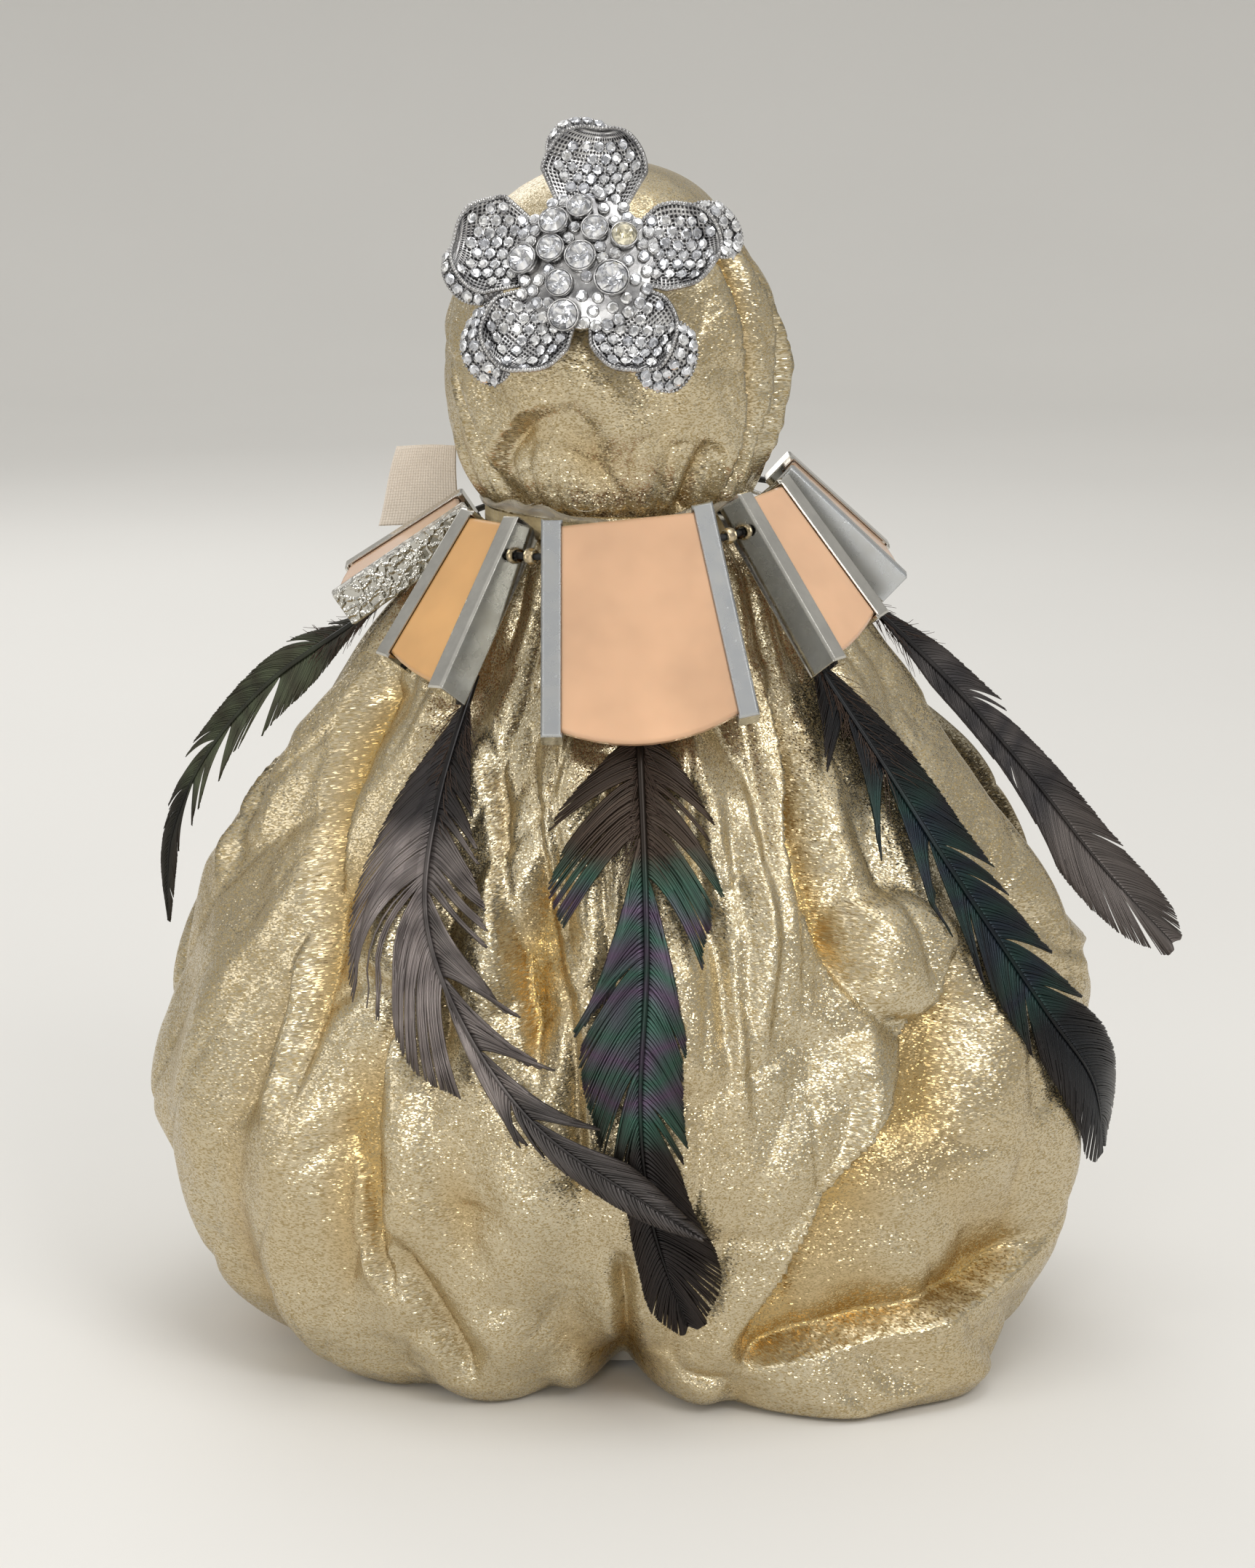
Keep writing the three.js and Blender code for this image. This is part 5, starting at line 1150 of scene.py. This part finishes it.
def petal_face(petal, u, s):
    """A petal's face: out along its axis by u and across by s. Its half width is that of an egg, 2
    half sqrt(v - v^2) with v = u^1.3, its edges are raised by the square of s, and it droops
    outwards with its tip turned up, all turned to the petal's direction."""
    reach = PETAL_ROOT + petal["length"] * u
    v = np.clip(u, 0, 1) ** 1.3
    width = np.minimum(2 * petal["half"] * np.sqrt(v - v * v + 1e-9), 0.56 * reach)
    across = s * width
    clear = smooth(reach, 11, 22)
    rise = 2.6 + 4.2 * s * s * clear * np.minimum(1, 1.6 * width / petal["half"])
    rise = rise - 4.5 * np.maximum(0, reach - 15) / petal["length"] + 3.4 * smooth(u, 0.72, 1.0)
    turn = math.radians(petal["angle"])
    x = reach * math.cos(turn) - across * math.sin(turn)
    y = reach * math.sin(turn) + across * math.cos(turn)
    return np.stack([x, y, rise + 0 * s], -1)


def petal_rim(petal, q):
    """The petal's edge: up one side to its tip and back down the other as q goes from 0 to 1."""
    u = 1 - np.abs(1 - 2 * q)
    u = 1 - (1 - u) ** 2
    return petal_face(petal, u, np.where(q < 0.5, -1.0, 1.0))


def petal_lip(petal, q, v):
    """The lip: from the rim outwards by the lip's width times v, and down by 0.8 of that times
    sqrt(v), full in the middle of its run and nothing at its ends."""
    rim = petal_rim(petal, q)
    ahead, behind = (petal_rim(petal, np.clip(q + step, 0, 1)) for step in (0.004, -0.004))
    run = unit(ahead - behind)
    out = unit(np.cross(run, np.array([0.0, 0.0, 1.0])))
    first, last = petal["lip"]
    full = np.sin(np.pi * np.clip((q - first) / (last - first), 0, 1)) ** 0.6
    wide = (petal["width"] * v * full)[..., None]
    drop = wide * (0.8 * np.sqrt(np.clip(v, 0, 1)))[..., None]
    return rim + out * wide - np.array([0.0, 0.0, 1.0]) * drop


def face_normals(face, u, v):
    """Normals of a surface of two parameters: the cross product of its slopes, turned outwards."""
    h = 1e-3
    du = face(u + h, v) - face(u - h, v)
    dv = face(u, v + h) - face(u, v - h)
    normal = unit(np.cross(du, dv))
    return normal * np.where(normal[..., 2:] < 0, -1, 1)


def stones_on(petal, radius, pick):
    """Places of the small stones: a hexagonal net in the petal's plane, kept well inside the rim
    and off the cluster, and rows along the lip. Gives centres and normals."""
    u, s = np.meshgrid(np.linspace(0.24, 0.93, 160), np.linspace(-0.84, 0.84, 130), indexing="ij")
    face = petal_face(petal, u, s).reshape(-1, 3)
    pitch = 2.3 * radius
    rows = np.arange(-20, 21)
    net = np.stack(np.meshgrid(rows * pitch, rows * pitch * 0.866), -1)
    net[1::2, :, 0] += pitch / 2
    net = net.reshape(-1, 2) + pick.uniform(-0.2, 0.2, (net.size // 2, 2))
    gap = np.linalg.norm(net[:, None] - face[None, :, :2], axis=-1)
    nearest = gap.argmin(1)
    keep = (gap.min(1) < 0.2) & (np.hypot(*net.T) > 13.5) & (pick.uniform(0, 1, len(net)) > 0.05)
    at = (u.ravel()[nearest[keep]], s.ravel()[nearest[keep]])
    spots = [petal_face(petal, *at)]
    normals = [face_normals(lambda a, b: petal_face(petal, a, b), *at)]
    first, last = petal["lip"]
    q = np.linspace(first, last, 400)
    for level in ((0.32, 0.78) if petal["width"] > 4 else (0.55,)):
        line = petal_lip(petal, q, np.full(400, level))
        steps = np.concatenate([[0], np.cumsum(np.linalg.norm(np.diff(line, axis=0), axis=1))])
        marks = np.arange(1.5 + 3 * level, steps[-1] - 1.5 - 3 * level, 2.2 * radius)
        at = (np.interp(marks, steps, q), np.full(len(marks), level))
        spots.append(petal_lip(petal, *at))
        normals.append(face_normals(lambda a, b: petal_lip(petal, a, b), *at))
    return np.concatenate(spots), np.concatenate(normals)


def make_petal(petal, silver):
    """A petal: its leaf, a wire and a row of grains along its rim, and its lip with its grains."""
    u = ((1 - np.cos(np.linspace(0, np.pi, 44))) / 2)[:, None]
    s = np.linspace(-1, 1, 33)[None]
    flat = np.stack([petal["length"] * u + 0 * s, petal["half"] * s + 0 * u], -1)
    blade, uv = leaf(petal_face(petal, u + 0 * s, s + 0 * u), (0, 0, -0.9), flat)
    sets = [tubes(on_head(blade), "rungs", uv)]
    q = np.linspace(0.04, 0.96, 240)
    rim = even(petal_rim(petal, q), 120) + [0, 0, 0.15]
    sets.append(tubes(on_head(along_path(rim, 0.5, 6))))
    first, last = petal["lip"]
    q = np.linspace(first, last, 40)[:, None]
    v = np.linspace(0, 1, 9)[None]
    flat = np.stack([60 * q + 0 * v, 6 * v + 0 * q], -1)
    lip, uv = leaf(petal_lip(petal, q + 0 * v, v + 0 * q), (0, 0, -0.8), flat)
    sets.append(tubes(on_head(lip), "rungs", uv))
    edge = petal_lip(petal, np.linspace(first, last, 200), np.ones(200))
    length = np.linalg.norm(np.diff(rim, axis=0), axis=1).sum()
    grains = on_head(np.concatenate([even(rim, int(length / 1.05)) + [0, 0, 0.45], even(edge, 34)]))
    normals = np.broadcast_to(facing(np.array([[0, 0, 1.0]])), grains.shape)
    sets.append(tubes(turned(grains, normals, np.full(len(grains), RIM_GRAIN), BALL, 6)))
    return build(petal["node"] + "_leaf", sets, silver, replaces=(petal["node"],))


def make_pave(petal, radius, crystal, silver):
    """The small stones of a petal, and the grains that hold them, one above and one below each."""
    pick = np.random.default_rng(int(petal["angle"]))
    spots, normals = stones_on(petal, radius, pick)
    places = on_head(spots + normals * 0.35)
    outward = facing(normals)
    count = len(places)
    spin = pick.uniform(0, 1, count)
    radii = pick.uniform(0.92, 1.04, count) * radius
    stones = turned(places, outward, radii, BRILLIANT, 8, 0.5, spin)
    # Painted reflections: a random brightness for each stone.
    tone = pick.uniform(0.25, 0.9, count)[:, None, None]
    build(petal["node"] + "_pave", [tubes(stones, "face", tone=tone)], crystal,
          flat=True)
    beside = radius * 1.02 * frames(outward)[1]
    grains = np.concatenate([places + beside, places - beside])
    radii = np.full(len(grains), PAVE_GRAIN)
    balls = turned(grains, np.concatenate([outward, outward]), radii, BALL, 6)
    build(petal["node"] + "_grains", [tubes(balls)], silver)


def dome_level(reach):
    """The cluster's dome: it falls as the cosine of the distance from its middle."""
    return CLUSTER_FOOT + CLUSTER_RISE * np.cos(np.pi / 2 * np.minimum(1, reach / CLUSTER_REACH))


def make_cluster(radius, crystal, silver):
    """The cluster on its dome: large stones in round collets, and small ones between them."""
    large = np.array(LARGE_STONES)
    spots, radii = large[:, :2], large[:, 2]
    base = dome_level(np.maximum(0, np.hypot(*spots.T) - radii)) + 0.3
    centres = on_head(np.column_stack([spots, base + 1.2]))
    outward = facing(unit(np.column_stack([spots * 0.022, np.ones(len(large))])))
    pick = np.random.default_rng(77)
    # Painted reflections: the facets of each ring are bright and dark in turn.
    painted_facet_tones = np.where(np.arange(12) % 2, 0.9, 0.22)[None] * np.array([1, 1, 1, 0.9, 1, 1])[:, None]
    spin = pick.uniform(0, 1, len(large))
    for i in range(len(large)):
        one = turned(centres[[i]], outward[[i]], radii[[i]], OPEN_BRILLIANT, 12, 0.5, spin[[i]])
        tone = np.maximum(painted_facet_tones, 0.95) if i == YELLOW_STONE else painted_facet_tones
        build(f"large_stone_{i + 1}", [tubes(one, "face", tone=tone)], crystal,
              replaces=(f"stone_{i + 1}",), flat=True)
    cups = turned(centres, outward, radii, COLLET, 20)
    angles = pick.uniform(0, 2 * np.pi, CLUSTER_TRIES)
    far = CLUSTER_EDGE * np.sqrt(pick.uniform(0, 1, CLUSTER_TRIES))
    trial = np.column_stack([far * np.cos(angles), far * np.sin(angles)])
    small = []
    for spot in trial:
        free = (np.hypot(*(spots - spot).T) > radii * 1.12 + radius * 0.8).all()
        if free and all(math.dist(spot, other) > 2.05 * radius for other in small):
            small.append(spot)
    small = np.array(small)
    count = len(small)
    seats = on_head(np.column_stack([small, dome_level(np.hypot(*small.T)) + 0.9]))
    tilt = facing(unit(np.column_stack([small * 0.03, np.ones(count)])))
    equal = np.full(count, radius)
    stones = turned(seats, tilt, equal, BRILLIANT, 8, 0.5, pick.uniform(0, 1, count))
    # Painted reflections: a random brightness for each stone.
    tone = pick.uniform(0.25, 0.9, count)[:, None, None]
    build("cluster_stones", [tubes(stones, "face", tone=tone)], crystal, flat=True)
    posts = turned(seats, tilt, equal, POST, 10)
    build("cluster_collets", [tubes(cups), tubes(posts)], silver)


# Tag

TAG_THICKNESS = 0.45
TAG_INNER, TAG_OUTER, TAG_DEPTH, TAG_FOOT, TAG_HEIGHT = -40.4, -60.0, 14.3, 197.2, 19.6


def make_tag(material):
    """The tag: a leaf of cloth from its inner to its outer edge, curled by a parabola and sines."""
    u, v = np.meshgrid(np.linspace(0, 1, 30), np.linspace(0, 1, 30), indexing="ij")
    outer = TAG_OUTER + 5.0 * u
    x = TAG_INNER + (outer - TAG_INNER) * v + 0.25 * np.sin(5 * u + 1)
    z = TAG_FOOT + TAG_HEIGHT * u + 0.3 * np.sin(4 * v)
    y = TAG_DEPTH + 1.6 * v * v + 0.5 * np.sin(3.2 * u + 2 * v)
    flat = np.stack([20 * u, 19 * v], -1)
    grid, uv = leaf(np.stack([x, y, z], -1), (0, TAG_THICKNESS, 0), flat)
    piece = build("tag_cloth", [tubes(grid, "rungs", uv)], material, body="cloth_tag",
                  replaces=("cloth_tag",))
    return piece


# Stage, in metres

CAMERA_LENS, CAMERA_SENSOR = 80.2, 36
CAMERA_PLACE, CAMERA_DROP = (0.001, -0.8314, 0.3127), 12
FLOOR_REACH, FLOOR_BEND, FLOOR_DROP = 2.4, 1.2, 0.0004
# Soft boxes: name, place, size and share of the key light's power.
SOFT_BOXES = [("key", (0.75, -1.15, 1.2), 0.6, 1.0), ("front", (-0.3, -1.4, 0.45), 0.4, 0.5),
              ("side", (-1.2, -0.6, 0.7), 0.7, 0.35), ("top", (0.1, -0.25, 1.7), 0.8, 0.7),
              ("back", (-0.5, 1.3, 0.9), 0.8, 0.5)]
LIT_POINT = np.array([0, 0, 0.13])


def floor_stage(scene, shade):
    """A round floor: a surface of revolution, flat to its reach and then a quarter circle up."""
    bend = np.linspace(0, np.pi / 2, 24)[1:]
    level = np.linspace(0.01, FLOOR_REACH, 12)
    out = np.concatenate([level, FLOOR_REACH + FLOOR_BEND * np.sin(bend)])
    rise = np.concatenate([np.zeros(12), FLOOR_BEND * (1 - np.cos(bend))])
    angle = np.linspace(0, 2 * np.pi, 96, endpoint=False)
    grid = round_axis(angle[None] + 0 * out[:, None], out[:, None], rise[:, None] - FLOOR_DROP)
    ids, quads = ring_quads(*grid.shape[:2])
    mesh = bpy.data.meshes.new("floor")
    mesh.from_pydata(grid.reshape(-1, 3).tolist(), [], [*quads.tolist(), ids[0, ::-1].tolist()])
    mesh.shade_smooth()
    material, tree = begin("matt_studio_floor")
    place = add(tree, "ShaderNodeTexCoord").outputs["Object"]
    grain = add(tree, "ShaderNodeTexNoise", {
        "Vector": place, "Scale": 1 / 0.4, "Detail": 2.0}).outputs["Fac"]
    low, high = [(*[share * c for c in shade], 1) for share in (1.0, 0.94)]
    paint = add(tree, "ShaderNodeMix", {0: grain, 6: low, 7: high}, data_type="RGBA").outputs[2]
    shader = add(tree, "ShaderNodeBsdfPrincipled", {"Base Color": paint, "Roughness": 0.8})
    add(tree, "ShaderNodeOutputMaterial", {"Surface": shader.outputs[0]})
    mesh.materials.append(material)
    floor = bpy.data.objects.new("floor", mesh)
    scene.collection.objects.link(floor)


def soft_boxes(scene, power):
    """Soft boxes round the doll, each aimed at its middle."""
    for name, place, size, share in SOFT_BOXES:
        lamp = bpy.data.lights.new(name, "AREA")
        lamp.shape = "SQUARE"
        lamp.size = size
        lamp.energy = power * share
        box = bpy.data.objects.new(name, lamp)
        scene.collection.objects.link(box)
        box.location = place
        x, y, z = LIT_POINT - place
        box.rotation_euler = (math.atan2(math.hypot(x, y), -z), 0, math.atan2(-x, y))


def studio_room(scene):
    """A room whose ceiling is bright and whose walls are dim, so that metal has what to reflect."""
    world = bpy.data.worlds.new("studio")
    world.use_nodes = True
    tree = world.node_tree
    tree.nodes.clear()
    way = add(tree, "ShaderNodeTexCoord").outputs["Generated"]
    up = add(tree, "ShaderNodeSeparateXYZ", {0: way}).outputs[2]
    strength = add(tree, "ShaderNodeMapRange", {
        0: up, 1: 0.2, 2: 0.95, 3: 0.22, 4: 1.0}).outputs[0]
    room = add(tree, "ShaderNodeBackground", {"Color": colour("#F2F1EE"), "Strength": strength})
    add(tree, "ShaderNodeOutputWorld", {"Surface": room.outputs[0]})
    scene.world = world


def set_camera(scene):
    """The camera in front of the doll, level from side to side and dropped a little."""
    camera = bpy.data.objects.new("camera", bpy.data.cameras.new("camera"))
    scene.collection.objects.link(camera)
    camera.data.lens = CAMERA_LENS
    camera.data.sensor_width = CAMERA_SENSOR
    camera.location = CAMERA_PLACE
    camera.rotation_euler = (math.radians(90 - CAMERA_DROP), 0, 0)
    scene.camera = camera


# Properties


def colour_setting(name, description, code):
    """A colour setting whose default is an sRGB hex value."""
    return FloatVectorProperty(name=name, description=description, subtype="COLOR", size=3,
                               default=colour(code)[:3], min=0, max=1)


class DollSizes(bpy.types.PropertyGroup):
    """Sizes that change how the doll's surfaces look."""

    barbs: IntProperty(name="Barbs", description="Barbs in each vane of a feather",
                       default=360, min=40, max=600)
    stone: FloatProperty(name="Small stone", description="Radius of the brooch's small stones",
                         default=1.28 * MM, min=0.5 * MM, max=3 * MM, unit="LENGTH", precision=5)
    glint: FloatProperty(name="Glint", description="How far the cloth's metal strips tilt",
                         default=0.5, min=0, max=1)
    key: FloatProperty(name="Key light", description="Power of the main soft box",
                       default=7.0, min=0, unit="POWER")


class DollColours(bpy.types.PropertyGroup):
    """Colours of the doll's main finishes, as linear values."""

    lame_pale: colour_setting("Pale cloth", "Metal cloth on the crowns of its folds", "#D0C5AA")
    # Painted shade and reflection: the gold that the foil turns to in deep folds.
    lame_painted_fold_reflection: colour_setting("Gold cloth", "Metal cloth in the depths of its folds", "#C09A4E")
    lame_yarn: colour_setting("Yarn", "Yarn between the cloth's metal strips", "#A59166")
    resin: colour_setting("Resin", "Tiles of the collar", "#DAAF8B")
    floor: colour_setting("Floor", "Studio floor", "#E9E7E3")


# Operators


class DollGown(bpy.types.Operator):
    """Makes the gown and the hood of metal cloth"""

    bl_idname = "doll.cloth"
    bl_label = "Gown and hood"

    def execute(self, context):
        cloth = lame_cloth(context.scene.doll_colours, context.scene.doll_sizes)
        make_gown(context.scene, cloth)
        make_hood(cloth)
        return {"FINISHED"}


class DollNeck(bpy.types.Operator):
    """Makes the elastic and the glue at the neck"""

    bl_idname = "doll.neck"
    bl_label = "Neck"

    def execute(self, context):
        make_band(woven_tape("knitted_elastic", "#B9A57A", "#D2C093", 0.0008, 0.8))
        make_glue(plain_finish("hot_melt_glue", "#DDD6C4", "#F1EBDC", 0.003, 0.22, 0.0003, IOR=1.48,
                               Transmission_Weight=0.8))
        return {"FINISHED"}


class DollCollar(bpy.types.Operator):
    """Finishes the collar's tiles, rails, beads and cord"""

    bl_idname = "doll.collar"
    bl_label = "Collar"

    def execute(self, context):
        resin = cast_resin("cast_peach_resin", context.scene.doll_colours.resin)
        amber = cast_resin("cast_amber_resin", colour("#D6A468")[:3])
        polished = rail_metal("polished_plated_rail", "#E2DFD6", 0.05, 0.02, 0.0)
        satin = rail_metal("satin_plated_rail", "#C6CBD1", 0.26, 0.08, 0.0)
        veined = rail_metal("reticulated_plated_rail", "#C9C6BC", 0.2, 0.1, 1.0)
        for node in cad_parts:
            if node.endswith("_tile"):
                dress(node, amber if node == "left_tile" else resin)
            if node.endswith("_rail"):
                dress(node, satin if node.startswith("centre") else polished)
        dress("left_end_inner_rail", veined)
        dress("right_end_inner_rail", satin)
        gold = rail_metal("gold_plated_bead", "#D8B878", 0.16, 0.05, 0.0)
        cord = plain_finish("waxed_cotton_cord", "#171615", "#2B2927", 0.0006, 0.6, 0.0002)
        for node in ("bead_1", "bead_2", "bead_3", "bead_4"):
            dress(node, gold)
        for node in ("collar_cord", "cord_knot"):
            dress(node, cord)
        return {"FINISHED"}


class DollFeathers(bpy.types.Operator):
    """Makes the five feathers"""

    bl_idname = "doll.feathers"
    bl_label = "Feathers"

    def execute(self, context):
        # Each look: root colour, painted sheen colour, painted band sheen colour, tip colour and
        # gloss.
        looks = {
            "far_left_feather": ("#2F2E24", "#454B38", "#38382A", "#201F19", 0.4),
            "left_feather": ("#2A2727", "#7A726F", "#5E5755", "#484443", 0.32),
            "centre_feather": ("#3A2F26", "#2A4A3E", "#4A3A4E", "#1A1514", 0.36),
            "right_feather": ("#17191C", "#1B3430", "#1B2430", "#121519", 0.36),
            "far_right_feather": ("#242223", "#4A4645", "#353335", "#57514E", 0.4),
        }
        for feather in FEATHERS:
            plume = feather_vane(feather["node"] + "_keratin", *looks[feather["node"]])
            make_feather(feather, context.scene.doll_sizes.barbs, plume)
        return {"FINISHED"}


class DollBrooch(bpy.types.Operator):
    """Makes the flower brooch"""

    bl_idname = "doll.brooch"
    bl_label = "Brooch"

    def execute(self, context):
        silver, crystal = antique_silver(), foiled_crystal()
        radius = context.scene.doll_sizes.stone / MM
        for petal in PETALS:
            make_petal(petal, silver)
            make_pave(petal, radius, crystal, silver)
        make_cluster(radius, crystal, silver)
        for node in ("brooch_plate", "pin_hinge", "pin_catch", "pin_stem", "cluster_dome"):
            dress(node, silver)
        return {"FINISHED"}


class DollTag(bpy.types.Operator):
    """Makes the blank cloth tag, and finishes the board and the dowel inside the doll"""

    bl_idname = "doll.tag"
    bl_label = "Tag and stand"

    def execute(self, context):
        make_tag(woven_tape("woven_cotton_tape", "#E4D7C7", "#F6EADB", 0.0007, 0.9))
        dress("base_board", plain_finish("grey_board", "#8C8880", "#A39E94", 0.002, 0.9, 0.0002))
        dress("dowel", plain_finish("birch_dowel", "#C9A877", "#DEC397", 0.004, 0.6, 0.0002))
        return {"FINISHED"}


class DollStage(bpy.types.Operator):
    """Sets the floor, the lamps and the camera"""

    bl_idname = "doll.stage"
    bl_label = "Stage"

    def execute(self, context):
        scene = context.scene
        floor_stage(scene, scene.doll_colours.floor)
        soft_boxes(scene, scene.doll_sizes.key)
        studio_room(scene)
        set_camera(scene)
        scene.view_settings.view_transform = "Standard"
        return {"FINISHED"}


class DollPanel(bpy.types.Panel):
    """Lists the doll's pieces and their settings"""

    bl_idname = "VIEW3D_PT_doll"
    bl_label = "Art doll"
    bl_space_type = "VIEW_3D"
    bl_region_type = "UI"
    bl_category = "Doll"

    def draw(self, context):
        for operator in OPERATORS:
            self.layout.operator(operator.bl_idname)
        for name in ("doll_sizes", "doll_colours"):
            group = getattr(context.scene, name)
            for key in group.bl_rna.properties.keys():
                if key not in ("name", "rna_type"):
                    self.layout.prop(group, key)


OPERATORS = (DollStage, DollGown, DollNeck, DollCollar, DollFeathers, DollBrooch, DollTag)
CLASSES = (DollSizes, DollColours, *OPERATORS, DollPanel)


def register():
    for cls in CLASSES:
        bpy.utils.register_class(cls)
    bpy.types.Scene.doll_sizes = PointerProperty(type=DollSizes)
    bpy.types.Scene.doll_colours = PointerProperty(type=DollColours)


def unregister():
    del bpy.types.Scene.doll_colours
    del bpy.types.Scene.doll_sizes
    for cls in reversed(CLASSES):
        bpy.utils.unregister_class(cls)


def main():
    register()
    for operator in OPERATORS:
        getattr(bpy.ops.doll, operator.bl_idname.split(".")[1])()


if __name__ == "__main__":
    main()
